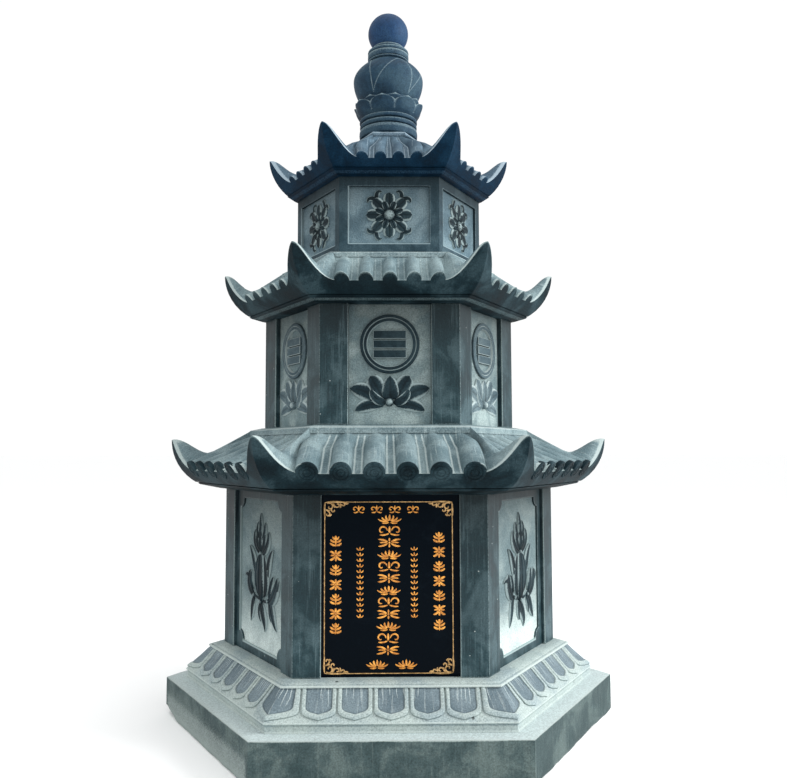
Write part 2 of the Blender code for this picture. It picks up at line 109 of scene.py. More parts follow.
# Sag of the slope, least height of a rib as a share, share of the ribless stretch in which the hip
# rises, how far the tiles go in under the ledge, slope of the fillet there, lift of the dressed
# tiles over the solid, and the outer face's foot over the bearing band
HOLLOW = 1.15
RIB_FLATTEST = 0.55
RIBLESS_STRETCH = 0.62
UNDERCUT = 0.003
FILLET_FALL = 1.2
SKIN = 0.0012
FASCIA_FOOT = 0.006

# Storeys: corner radius, foot, top, post width, setback of the slabs
LOWER = dict(radius=0.892, foot=0.375, top=1.198, post=0.130, setback=0.020)
MIDDLE = dict(radius=0.684, foot=1.524, top=2.116, post=0.140, setback=0.028)
UPPER = dict(radius=0.510, foot=2.401, top=2.798)
# Stones of the storeys; the upper walls' sunk field and frame; and how high the reliefs stand
POST_DEPTH, SLAB_THICKNESS, PLAQUE_THICKNESS = 0.100, 0.060, 0.022
WALL_THICKNESS, WALL_DEPTH, WALL_BORDER, ROSETTE_SIZE = 0.070, 0.014, 0.050, 1.2
SPRAY_HEIGHT, LOTUS_HEIGHT, RING_HEIGHT = 0.7865, 1.674, 1.918
BAR_HEIGHTS = (1.964, 1.917, 1.869)
BAR_HALF_LONG, BAR_HALF_HIGH, BAR_RELIEF = 0.081, 0.0205, 0.013
PLINTH_RADIUS, PLINTH_HEIGHT = 1.200, 0.190


class Carving:
    """Closed shells of one stone, gathered as whole arrays and made into one mesh at the end."""

    def __init__(self):
        self.points, self.tones = [], []
        self.quads, self.quad_uvs, self.quad_finish = [], [], []
        self.fans, self.fan_finish = [], []
        self.count = 0

    def shell(self, rings, finish=0, tone=0.0, quad_uv=None, loop=False, seam=False):
        """Add a closed shell from rings, an array of rows x columns x 3.

        Each row is a closed ring. The first and last ring are closed with a fan to their middle,
        or joined to each other where loop is set. Where seam is set the first ring is a line there
        and back, which welds shut by itself. Faces are turned outwards by the sign of the enclosed
        volume, a sixth of the sum of the triple products of all corner triangles.
        """
        rows, columns = rings.shape[:2]
        index = self.count + np.arange(rows * columns).reshape(rows, columns)
        near = index if loop else index[:-1]
        far = np.roll(index, -1, 0) if loop else index[1:]
        quads = np.stack([near, np.roll(near, -1, 1), np.roll(far, -1, 1), far], -1)
        points = rings.reshape(-1, 3)
        fans = np.zeros((0, 3), int)
        if not loop:
            middles = rings[[0, -1]].mean(1)
            tip = self.count + rows * columns
            first = np.stack([np.full(columns, tip), np.roll(index[0], -1), index[0]], -1)
            last = np.stack([np.full(columns, tip + 1), index[-1], np.roll(index[-1], -1)], -1)
            fans = last if seam else np.concatenate([first, last])
            points = np.concatenate([points, rings[0, :1] if seam else middles[:1], middles[1:]])
        tone_grid = np.broadcast_to(tone, (rows, columns)).ravel()
        tones = np.concatenate([tone_grid, np.zeros(len(points) - rows * columns)])
        finish_grid = np.broadcast_to(finish, quads.shape[:2])
        fan_finish = np.repeat([finish_grid[0, 0], finish_grid[-1, 0]], columns)[-len(fans):]
        quads = quads.reshape(-1, 4)
        uvs = np.zeros((len(quads), 4, 2)) if quad_uv is None else quad_uv.reshape(-1, 4, 2)
        local = points - points.mean(0)
        corners = np.concatenate([quads[:, [0, 1, 2]], quads[:, [0, 2, 3]], fans]) - self.count
        a, b, c = (local[corners[:, i]] for i in range(3))
        if np.einsum("ij,ij->", a, np.cross(b, c)) < 0.0:
            quads, uvs, fans = quads[:, ::-1], uvs[:, ::-1], fans[:, ::-1]
        self.points.append(points)
        self.tones.append(tones)
        self.quads.append(quads)
        self.quad_uvs.append(uvs)
        self.quad_finish.append(finish_grid.ravel())
        self.fans.append(fans)
        self.fan_finish.append(fan_finish if len(fans) else fan_finish[:0])
        self.count += len(points)

    def make(self, name, finishes, nodes, angle=34.0):
        """Make the mesh, put the piece into the scene and let it stand for its solids."""
        points = np.concatenate(self.points)
        quads, fans = np.concatenate(self.quads), np.concatenate(self.fans)
        corner_uv = np.concatenate(self.quad_uvs).reshape(-1, 2)
        corner_uv = np.concatenate([corner_uv, np.zeros((len(fans) * 3, 2))])
        mesh = bpy.data.meshes.new(name)
        mesh.vertices.add(len(points))
        mesh.vertices.foreach_set("co", points.astype(np.float32).ravel())
        corners = np.concatenate([quads.ravel(), fans.ravel()])
        mesh.loops.add(len(corners))
        mesh.loops.foreach_set("vertex_index", corners.astype(np.int32))
        starts = [np.arange(len(quads)) * 4, len(quads) * 4 + np.arange(len(fans)) * 3]
        mesh.polygons.add(len(quads) + len(fans))
        mesh.polygons.foreach_set("loop_start", np.concatenate(starts).astype(np.int32))
        finish = np.concatenate(self.quad_finish + self.fan_finish)
        mesh.polygons.foreach_set("material_index", finish.astype(np.int32))
        mesh.update(calc_edges=True)
        layer = mesh.uv_layers.new(name="stone_uv")
        layer.data.foreach_set("uv", corner_uv.astype(np.float32).ravel())
        tone = mesh.attributes.new("tone", "FLOAT", "POINT")
        tone.data.foreach_set("value", np.concatenate(self.tones).astype(np.float32))
        form = bmesh.new()
        form.from_mesh(mesh)
        bmesh.ops.remove_doubles(form, verts=form.verts, dist=0.00002)
        form.to_mesh(mesh)
        form.free()
        mesh.shade_smooth()
        mesh.set_sharp_from_angle(angle=math.radians(angle))
        for finish_name in finishes:
            mesh.materials.append(stone(finish_name))
        piece = bpy.data.objects.new(name, mesh)
        bpy.context.scene.collection.objects.link(piece)
        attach(piece, BODY)
        if nodes:
            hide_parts(*nodes)
        return piece


def face_axes(index):
    """Outward and sideways directions of a face, as unit vectors."""
    angle = math.pi / SIDES + index * 2.0 * math.pi / SIDES
    outward = np.array([math.cos(angle), math.sin(angle), 0.0])
    sideways = np.array([-math.sin(angle), math.cos(angle), 0.0])
    return outward, sideways


def on_face(index, form, distance):
    """Stand a form, given as (across, height, out), on a face this far from the axis."""
    outward, sideways = face_axes(index)
    lifted = form[..., 1:2] * np.array([0.0, 0.0, 1.0])
    return form[..., 0:1] * sideways + lifted + (distance + form[..., 2:3]) * outward


def hexagon(turn, radius):
    """Points on a hexagon: turn counts sides from the corner at +X, straight between corners."""
    side = np.floor(turn)
    share = turn - side
    start, end = side * math.pi / 3.0, (side + 1.0) * math.pi / 3.0
    x = radius * (np.cos(start) * (1.0 - share) + np.cos(end) * share)
    y = radius * (np.sin(start) * (1.0 - share) + np.sin(end) * share)
    return x, y


def stack3(x, y, z):
    """Join three arrays of any matching shapes into points."""
    return np.stack(np.broadcast_arrays(x, y, z), -1).astype(float)


def smooth(x):
    """Smooth step from 0 to 1: three x squared less two x cubed."""
    x = np.clip(x, 0.0, 1.0)
    return x * x * (3.0 - 2.0 * x)


def bezier(controls, count):
    """Bezier curve through its end controls: the sum of the controls by Bernstein weights."""
    controls = np.array(controls, float)
    order = len(controls) - 1
    t = np.linspace(0.0, 1.0, count)[:, None]
    terms = [math.comb(order, i) * t ** i * (1.0 - t) ** (order - i) for i in range(order + 1)]
    return sum(term * control for term, control in zip(terms, controls))


def swell(count, peak, fullness):
    """Width along a leaf: u^(p f) (1-u)^((1-p) f), scaled to 1 at its peak p."""
    u = np.linspace(0.0, 1.0, count)
    low = (u / peak) ** (peak * fullness)
    high = ((1.0 - u) / (1.0 - peak)) ** ((1.0 - peak) * fullness)
    return low * high


def leaf(controls, half_width, crown, peak=0.45, fullness=1.5, vein=0.35, cup=0.0, lift=0.0,
         steps=12, across=10):
    """A solid leaf carried along a curve, as (across, height, out), with its edge tones.

    Its half-width follows the swell, and its section is a dome, (1 - s^2)^0.6, with a notch
    for the vein at s = 0, a hollow where cup is set and a tip that leaves the ground by lift.
    """
    path = bezier(controls, steps)
    tangent = np.gradient(path, axis=0)
    tangent /= np.linalg.norm(tangent, axis=1, keepdims=True)
    side = np.stack([-tangent[:, 1], tangent[:, 0]], -1)
    width = half_width * swell(steps, peak, fullness) + 0.0006
    s = np.linspace(-1.0, 1.0, across + 1)
    dome = np.clip(1.0 - s * s, 0.0, 1.0) ** 0.6
    section = 0.22 + 0.78 * dome
    section = section * (1.0 - cup * (1.0 - s * s)) - vein * np.exp(-(s / 0.16) ** 2)
    u = np.linspace(0.0, 1.0, steps)
    along = 0.45 + 0.55 * np.sin(np.pi * np.clip(u * 0.92 + 0.08, 0, 1)) ** 0.6
    out = crown * along[:, None] * section[None, :] + lift * (u * u)[:, None]
    flat = path[:, None, :] + side[:, None, :] * (width[:, None] * s[None, :])[..., None]
    top = np.concatenate([flat, out[..., None]], -1)
    below = np.concatenate([flat[:, [-1, 0]], np.full((steps, 2, 1), -SINK)], -1)
    rings = np.concatenate([top, below], 1)
    # Leaf edges painted pale as wear and highlight; painted shade in the vein, at the leaf's foot and
    # down its sides
    edge = EDGE_LIGHT * np.abs(s) ** 4 - 0.7 * np.exp(-(s / 0.16) ** 2) * (vein > 0.0)
    deep = -0.8 * np.clip(1.0 - 2.2 * u, 0.0, 1.0)[:, None]
    tone = np.concatenate([edge + deep, np.full((steps, 2), -0.6)], 1)
    return rings, tone


def knob(x, z, radius, height, steps=14, rows=5):
    """A low round boss: a quarter of an ellipse turned about its middle."""
    turn = np.linspace(0.0, 2.0 * np.pi, steps, endpoint=False)
    rise = np.linspace(0.0, 0.47 * np.pi, rows)
    spread = np.concatenate([[1.0], np.cos(rise)]) * radius
    out = np.concatenate([[-SINK], 0.15 * height + 0.85 * height * np.sin(rise)])
    rings = stack3(x + spread[:, None] * np.cos(turn), z + spread[:, None] * np.sin(turn),
                   out[:, None])
    # Painted shade at the boss's foot, rising to a painted highlight on its top
    tone = np.broadcast_to(np.linspace(-0.2, 0.6, rows + 1)[:, None], rings.shape[:2])
    return rings, tone


def bar(x, z, half_long, half_high, height, ease=0.0015):
    """A raised bar with eased edges: one rectangle at five levels, its edges painted pale as
    highlight and wear, most below and right.
    """
    corners = np.array([(-1, -1), (1, -1), (1, 1), (-1, 1)], float)
    levels = ((0.0, 0.0, -SINK), (0.0, 0.0, height - ease), (ease, 0.0, height),
              (1.3 * ease, 0.0, height), (1.7 * ease, 0.35 * ease, height))
    rings = [stack3(x + corners[:, 0] * (half_long - inset) - shift,
                    z + corners[:, 1] * (half_high - inset) + shift, out)
             for inset, shift, out in levels]
    # Painted shade at the bar's foot, pale eased edges as painted highlight and wear
    tone = np.array([-0.5, 0.3, 1.0, 0.9, -0.1])[:, None] * np.ones((1, 4))
    return np.array(rings), tone


def hoop(x, z, profile, steps=64):
    """A round moulding: a closed section, given as (radius, out), carried round a circle."""
    turn = np.linspace(0.0, 2.0 * np.pi, steps, endpoint=False)[:, None]
    section = np.array(profile, float)
    return stack3(x + section[:, 0] * np.cos(turn), z + section[:, 0] * np.sin(turn),
                  section[:, 1] * np.ones_like(turn))


def notched_outlines(half_wide, half_high, border, notch, steps=7):
    """Inner and outer outline of a frame, point for point.

    The inner one is a rectangle whose corners are cut by a quarter circle about each corner.
    The outer one is the plain rectangle, on which the same points slide into the corner.
    """
    inner_wide, inner_high = half_wide - border, half_high - border
    turn = np.linspace(0.0, 0.5 * np.pi, steps)
    slide = np.linspace(0.0, 1.0, steps)
    inner, outer = [], []
    for sx, sz in ((1, 1), (-1, 1), (-1, -1), (1, -1)):
        x = inner_wide - notch * np.sin(turn)
        z = inner_high - notch * np.cos(turn)
        far_x = np.where(slide < 0.5, half_wide, half_wide - (2.0 * slide - 1.0) * (border + notch))
        far_z = np.where(slide > 0.5, half_high, half_high - (1.0 - 2.0 * slide) * (border + notch))
        order = slice(None) if sx * sz > 0 else slice(None, None, -1)
        inner.append(np.stack([sx * x, sz * z], -1)[order])
        outer.append(np.stack([sx * far_x, sz * far_z], -1)[order])
    return np.concatenate(inner), np.concatenate(outer)


def frame_ring(inner, outer, middle, front, field, ease=0.002):
    """A raised frame between two outlines, with an eased inner edge, as a closed ring."""
    centre = np.array([0.0, middle])

    def level(outline, scale, out):
        return np.concatenate([outline * scale + centre, np.full((len(outline), 1), out)], -1)

    shrink = ease / np.abs(inner).max()
    rows = [level(outer, 1.0, field - SINK), level(outer, 1.0, front),
            level(inner, 1.0 + 4.0 * shrink, front), level(inner, 1.0 + 2.0 * shrink, front),
            level(inner, 1.0, front - ease), level(inner, 1.0, field - SINK)]
    # Painted shade at the frame's feet, darkest where its inner wall meets the field; the inner edge
    # is painted paler as highlight and wear
    tone = np.array([-0.2, 0.0, 0.0, 0.30, 0.10, -0.70])[:, None] * np.ones((1, len(inner)))
    # The frame's left and lower inner edges catch the light and read palest
    lit = (inner.min(0) > inner - 0.0001).any(1)
    tone[3:] += np.array([0.6, 0.9, 1.6])[:, None] * lit
    return np.array(rows), tone


def slab(half_wide, foot, top, thickness, front=0.0, mitre=0.0, ease=0.0015):
    """A plain upright slab with eased front edges, as (across, height, out)."""
    corners = np.array([(-1, 0), (1, 0), (1, 1), (-1, 1)], float)
    levels = ((mitre, 0.0, front - thickness), (0.0, 0.0, front - ease), (ease, ease, front))
    rings = []
    for inset, trim, out in levels:
        height = np.where(corners[:, 1] > 0.5, top - trim, foot + trim)
        rings.append(stack3(corners[:, 0] * (half_wide - inset), height, out))
    return np.array(rings)


def turned_form(carving, profile, steps=96, finish=0, relief=None, tone=0.0):
    """Turn a profile of (radius, height) rows, from top to foot.

    A relief gives how far a point goes in, and its tone, from its height and direction.
    """
    profile = np.array(profile, float)
    turn = np.linspace(0.0, 2.0 * np.pi, steps, endpoint=False)[None, :]
    radius = profile[:, :1] * np.ones_like(turn)
    height = profile[:, 1:2] * np.ones_like(turn)
    tone = np.reshape(tone, (-1, 1)) + np.zeros_like(radius)
    if relief is not None:
        depth, line_tone = relief(height, turn)
        radius, tone = radius - depth, tone + line_tone
    rings = stack3(radius * np.cos(turn), radius * np.sin(turn), height)
    carving.shell(rings, finish, tone)


# Roof stones

def eave_lift(roof, share):
    """How far up the eave has swept: the squared sine of a quarter turn past its straight part."""
    past = np.clip((np.abs(share) - roof["straight"]) / (1.0 - roof["straight"]), 0.0, 1.0)
    return np.sin(0.5 * np.pi * past ** roof["rise"]) ** 2


def eave_height(roof, share):
    """Height of the trough's edge at the eave."""
    return roof["eave_height"] + (roof["tip_height"] - roof["eave_height"]) * eave_lift(roof, share)


def fascia_apothem(roof, height):
    """Distance of the outer face from the axis: a quarter superellipse, x^n + y^n = 1."""
    down = (roof["tip_height"] - height) / (roof["tip_height"] - roof["foot"])
    out = (1.0 - np.clip(down, 0.0, 1.0) ** roof["fullness"]) ** (1.0 / roof["fullness"])
    return COS_HALF * (roof["curve_radius"] + (roof["tip_radius"] - roof["curve_radius"]) * out)


def tile_columns(roof):
    """Columns of one side: place in metres, share beyond the ribs, rib height and edge tone.

    A rib is half an ellipse, sampled at even angles, and a trough is a flat between two ribs.
    """
    half, pitch, count = roof["rib_half"], roof["pitch"], roof["ribs"]
    angle = np.linspace(0.0, np.pi, RIB_STEPS + 1)
    gap = pitch - 2.0 * half
    cell = np.concatenate([-half * np.cos(angle), half + gap * np.array([0.16, 0.30, 0.70, 0.84])])
    height = np.concatenate([roof["rib_height"] * np.sin(angle), np.zeros(4)])
    lip = np.array([0.0, -1.0, -1.0, 0.0]) * roof["lip"]
    height[-4:] = lip
    tone = np.zeros(len(cell))
    # Painted shade in the creases at the feet of the ribs; ribs, troughs and their lines take the
    # roof's painted tones
    tone[[0, RIB_STEPS]] = -0.35
    tone[1:RIB_STEPS] = roof["rib_tone"]
    tone[-4:] = [roof[key] for key in ("line_tone", "trough_tone", "trough_tone", "line_tone")]
    centres = (np.arange(count) - (count - 1) / 2.0) * pitch
    place = (centres[:, None] + cell[None, :]).ravel()[:-4]
    zone = centres[-1] + half
    outer = np.array(OUTER_SHARES)
    ends = np.full(len(outer), zone)
    place = np.concatenate([-ends, place, ends])
    beyond = np.concatenate([-outer[::-1], np.zeros(len(place) - 2 * len(outer)), outer])
    quiet = np.zeros(len(outer))
    rib = np.concatenate([quiet, np.tile(height, count)[:-4], quiet])
    edge = np.concatenate([quiet, np.tile(tone, count)[:-4], quiet])
    return place, beyond, rib, edge, zone


def column_shares(place, beyond, zone, distance, margin=0.006):
    """Share of the half side at each column; the ribs draw together where the side is short."""
    half_side = distance * TAN_HALF
    squeeze = min(1.0, (half_side - margin) / zone)
    return place * squeeze / half_side + beyond * (1.0 - zone * squeeze / half_side), squeeze


def roof_rows(roof):
    """All rows of one side of a roof stone, from its foot round the eave to its top.

    Gives distance from the axis, place across, height, tone and the finish between rows.
    """
    place, beyond, rib, edge, zone = tile_columns(roof)
    blade = smooth(np.abs(beyond) * 1.6)
    hip = smooth(np.abs(beyond) / RIBLESS_STRETCH)
    rows = []

    def row(distance, height, tone, finish, mid):
        share, _ = column_shares(place, beyond, zone, mid)
        distance = np.broadcast_to(distance, share.shape)
        rows.append((distance, share * distance * TAN_HALF, np.broadcast_to(height, share.shape),
                     np.broadcast_to(tone, share.shape), finish))

    def level(radius, height, tone=0.0, finish=0):
        row(radius * COS_HALF, height, tone, finish, radius * COS_HALF)

    low = roof["band_height"]
    level(roof["seat_radius"] - 0.03, roof["foot"])
    # Painted shade under the eave: at the seat, at the edges of the bearing band and in the groove
    # above it
    level(roof["seat_radius"], roof["foot"], -0.4)
    lip_radius, lip_height = roof["band_radius"] - 0.011, low - 0.0065
    for part, tone in ((0.25, -0.7), (0.42, roof["band_tone"]), (0.86, roof["band_tone"]),
                       (0.97, -0.5), (1.0, -0.6)):
        level(roof["seat_radius"] + part * (lip_radius - roof["seat_radius"]),
              roof["foot"] + part * (lip_height - roof["foot"]), tone)
    level(roof["band_radius"], low + 0.001, -0.3)
    level(roof["band_radius"] - 0.008, low + 0.004, -1.0)
    foot = low + FASCIA_FOOT
    for part in FASCIA_PARTS:
        mid = float(fascia_apothem(roof, foot + part * (roof["eave_height"] - foot)))
        share, _ = column_shares(place, beyond, zone, mid)
        height = foot + part * (eave_height(roof, share) - foot)
        # The eave's top edge and the upswept blades painted pale as highlight and wear
        tone = 0.45 * smooth((part - 0.97) / 0.03) * blade
        row(fascia_apothem(roof, height), height, tone, 0, mid)
    for climb in (0.4, 0.75, 1.0):
        share, _ = column_shares(place, beyond, zone, mid)
        height = eave_height(roof, share) + climb * (np.maximum(rib, 0.0) + SKIN)
        on_rib = rib > 0.3 * roof["rib_height"]
        # Rib ends and blade tops painted pale as highlight and wear
        tone = np.where(on_rib, 0.5 * climb ** 4, 0.45 + 0.4 * blade * climb)
        row(fascia_apothem(roof, height), height, tone, 0, mid)
    inner_mid = (roof["ledge_radius"] - 0.5 * UNDERCUT) * COS_HALF
    inner = (roof["ledge_radius"] - UNDERCUT * (1.0 - hip)) * COS_HALF
    outer_mid = float(fascia_apothem(roof, roof["eave_height"]))
    top = roof["trough_top"] + hip * (roof["hip_top"] - roof["trough_top"])
    for part in TILE_PARTS:
        mid = inner_mid + part * (outer_mid - inner_mid)
        share, squeeze = column_shares(place, beyond, zone, mid)
        eave = eave_height(roof, share)
        outer = fascia_apothem(roof, eave + np.maximum(rib, 0.0))
        climb = smooth((part - roof["sweep_start"]) / (1.0 - roof["sweep_start"]))
        fall = (top - roof["eave_height"]) * (1.0 - (1.0 - part) ** HOLLOW)
        height = top - fall + (eave - roof["eave_height"]) * climb
        height = height + rib * max(RIB_FLATTEST, squeeze) + SKIN
        fillet = roof["ledge_foot"] - 0.002 - FILLET_FALL * part * (outer_mid - inner_mid)
        height = height + (1.0 - hip) * np.maximum(fillet - height, 0.0)
        # Eave rim and tip tops painted pale as highlight and wear; painted shade where the troughs
        # run in under the ledge
        rim = smooth((part - 0.955) / 0.02)
        cap = smooth((height - roof["tip_height"] + 0.020) / 0.018) * hip * (part > 0.6)
        tone = np.maximum(np.maximum(edge, rim * (0.5 + 0.35 * blade)), 0.7 * cap)
        tone = tone - 0.5 * smooth((0.03 - part) / 0.03) * (1.0 - hip)
        row(inner + part * (outer - inner), height, tone, 1, mid)
    ledge = roof["ledge_foot"] + hip * (roof["hip_top"] - roof["ledge_foot"])
    ledge_mid = roof["ledge_radius"] * COS_HALF
    # Painted shade under the ledge's lip, its top edge painted pale as highlight and wear
    row(ledge_mid - 0.001, ledge + 0.0015, -0.5, 1, ledge_mid)
    row(ledge_mid, ledge + 0.0025, 0.25, 1, ledge_mid)
    row(ledge_mid, np.maximum(ledge + 0.003, roof["ledge_top"] - 0.006), 0.1, 1, ledge_mid)
    level(roof["ledge_radius"] - 0.003, roof["ledge_top"] - 0.001, 0.55, 1)
    level(roof["rest_radius"], roof["top"] - 0.0008, 0.0, 1)
    level(roof["rest_radius"] - 0.02, roof["top"] - 0.0002, 0.0, 1)
    return rows


def ring_of_sides(rows):
    """Turn the rows of one side into full rings, tones, finishes and UV corners.

    A point is outward x distance + sideways x place + height, and each face keeps its own UVs,
    in metres: across the side, and out from the axis or up.
    """
    distance, across, height, tone = (np.array([row[i] for row in rows]) for i in range(4))
    finish = np.array([row[4] for row in rows])[1:]
    columns = distance.shape[1] - 1
    parts = []
    for index in range(SIDES):
        outward, sideways = face_axes(index)
        points = distance[..., None] * outward + across[..., None] * sideways
        points[..., 2] = height
        parts.append(points[:, :-1])
    rings = np.concatenate(parts, 1)
    travel = np.where(np.array([row[4] for row in rows])[:, None] > 0, distance, height)
    uv = np.stack([across, travel], -1)
    corner = np.stack([uv[:-1, :-1], uv[:-1, 1:], uv[1:, 1:], uv[1:, :-1]], -2)
    shift = np.arange(SIDES)[None, :, None, None, None] * np.array([3.1, 0.7])
    quad_uv = (corner[:, None] + shift).reshape(len(rows) - 1, SIDES * columns, 4, 2)
    tones = np.tile(tone[:, :-1], (1, SIDES))
    finishes = np.broadcast_to(finish[:, None], (len(finish), SIDES * columns))
    return rings, tones, finishes, quad_uv


def tile_ends(carving, roof, relief):
    """Turned discs at the ends of the ribs, leaning with the outer face.

    The face of a disc is a row of rings: land and groove by turns, from its edge to a button.
    """
    centres = (np.arange(roof["ribs"]) - (roof["ribs"] - 1) / 2.0) * roof["pitch"]
    radius = roof["rib_half"]
    profile = np.array([(0.90, -0.020), (0.98, -0.010), (1.0, 0.5 * relief), (0.95, relief),
                        (0.80, relief), (0.76, 0.2 * relief), (0.66, 0.2 * relief), (0.62, relief),
                        (0.46, relief), (0.42, 0.2 * relief), (0.32, 0.2 * relief), (0.28, relief),
                        (0.06, 1.4 * relief)])
    # Painted shade in the grooves of a disc, paler lands as painted highlight
    tone = np.array([0, 0, 0, 0.10, 0, -0.3, -0.3, 0.1, 0, -0.3, -0.3, 0.1, 0.05])[:, None]
    turn = np.linspace(0.0, 2.0 * np.pi, 24, endpoint=False)[None, :]
    mid = float(fascia_apothem(roof, roof["eave_height"]))
    for centre in centres:
        share = centre / (mid * TAN_HALF)
        height = float(eave_height(roof, share)) + 0.12 * radius
        above = fascia_apothem(roof, height + 0.7 * radius)
        below = fascia_apothem(roof, height - 0.7 * radius)
        lean = math.atan2(float(above - below), 1.4 * radius)
        spread = profile[:, :1] * radius
        across = centre + spread * np.cos(turn)
        up = spread * np.sin(turn)
        out = profile[:, 1:2] * np.ones_like(turn)
        distance = float(fascia_apothem(roof, height)) + up * math.sin(lean) + out * math.cos(lean)
        rise = height + up * math.cos(lean) - out * math.sin(lean)
        form = stack3(across, rise, distance)
        for index in range(SIDES):
            carving.shell(on_face(index, form, 0.0), 0, tone)


# Lotus course

PETALS = 6
PETAL_PITCH = 0.157
# Half width, shoulder, depth of the round foot, its point and its top, down the slope
PETAL_OUTER = (0.0745, 0.106, 0.038, 0.011, -0.006)
PETAL_INNER = (0.0575, 0.090, 0.030, 0.008, 0.004)
# Profile of the slope as radius and height, its distance from the axis and the way down it
SLOPE = np.array([(0.957, 0.3505), (0.975, 0.336), (1.000, 0.312), (1.025, 0.290), (1.050, 0.270),
                  (1.074, 0.250), (1.092, 0.236)])
APOTHEMS = SLOPE[:, 0] * COS_HALF
WAY = np.concatenate([[0.0], np.cumsum(np.hypot(np.diff(APOTHEMS), np.diff(SLOPE[:, 1])))])


def on_slope(turn, down, out):
    """Points on the sloped course: down is the way from its top, out the height above it."""
    distance = np.interp(down, WAY, APOTHEMS)
    height = np.interp(down, WAY, SLOPE[:, 1])
    near, far = np.clip(down - 0.02, 0.0, WAY[-1]), np.clip(down + 0.02, 0.0, WAY[-1])
    run = np.interp(far, WAY, APOTHEMS) - np.interp(near, WAY, APOTHEMS)
    drop = np.interp(near, WAY, SLOPE[:, 1]) - np.interp(far, WAY, SLOPE[:, 1])
    length = np.hypot(run, drop)
    distance = distance + out * drop / length
    height = height + out * run / length
    x, y = hexagon(turn, distance / COS_HALF)
    return stack3(x, y, height)


def petal_outline(half_wide, shoulder, depth, point, top, steps=12):
    """Outline of a hanging petal, from its top middle down one side, round its point and back.

    The foot is a superellipse, x^2.6 + y^2.6 = 1, drawn down at the middle by (1 - x)^2.2.
    """
    angle = np.linspace(0.0, 0.5 * np.pi, steps)
    x = np.cos(angle) ** (1.0 / 1.3)
    foot_x = half_wide * x
    foot_y = shoulder + depth * np.sin(angle) ** (1.0 / 1.3) + point * (1.0 - x) ** 2.2
    side_y = np.linspace(top, shoulder, 5)[:-1]
    right = np.concatenate([[[0.5 * half_wide, top]],
                            np.stack([np.full(4, half_wide), side_y], -1),
                            np.stack([foot_x, foot_y], -1)])
    left = right[:-1][::-1] * np.array([-1.0, 1.0])
    return np.concatenate([[[0.0, top]], right, left])


def petal_turn(step, across, down):
    """Place round the course of a petal's points: upright on a side, or folded over a corner.

    A folded petal is stretched so that its edges stay upright beside its neighbours.
    """
    half_side = np.interp(down, WAY, APOTHEMS) * TAN_HALF
    face, place = divmod(step, PETALS)
    if place:
        return face + 0.5 + (across + (place - 0.5 * PETALS) * PETAL_PITCH) / (2.0 * half_side)
    reach = half_side - 0.5 * (PETALS - 1) * PETAL_PITCH
    return face + across / (0.5 * PETAL_PITCH) * reach / (2.0 * half_side)


def lotus_petal(carving, step, border_out, field_out):
    """One petal of the course: a sunk field with a raised border, from its spine outwards."""
    outer, inner = petal_outline(*PETAL_OUTER), petal_outline(*PETAL_INNER)
    spine = np.stack([np.zeros(len(inner)), np.clip(inner[:, 1], 0.004, 0.080)], -1)
    grown = outer + (outer - inner) / (PETAL_OUTER[0] - PETAL_INNER[0]) * 0.0008
    # Tones: painted shade at the field's edge and round the outline, a pale border painted as wear
    # and highlight
    rows = [(spine, field_out + 0.0015, 0.0), (0.5 * (spine + inner), field_out + 0.0012, 0.0),
            (0.15 * spine + 0.85 * inner, field_out + 0.0003, -0.05), (inner, field_out, -0.50),
            (inner + (outer - inner) * 0.10, border_out - 0.0010, 0.30),
            (inner + (outer - inner) * 0.24, border_out, 0.25),
            (inner + (outer - inner) * 0.80, border_out, 0.15),
            (outer, border_out - 0.003, 0.20), (grown, -0.001, -0.8), (outer, -0.006, -0.8)]
    rings = np.array([on_slope(petal_turn(step, outline[:, 0], outline[:, 1]), outline[:, 1], out)
                      for outline, out, _ in rows])
    tone = np.array([row[2] for row in rows])[:, None]
    uv = np.array([row[0] for row in rows]) + np.array([0.37 * step, 0.0])
    uv = np.concatenate([uv, uv[:, :1]], 1)
    quad_uv = np.stack([uv[:-1, :-1], uv[:-1, 1:], uv[1:, 1:], uv[1:, :-1]], -2)
    finish = np.array([1, 1, 1, 0, 0, 0, 0, 0, 0])[:, None] * np.ones((1, len(inner)), int)
    carving.shell(rings, finish, tone, quad_uv, seam=True)


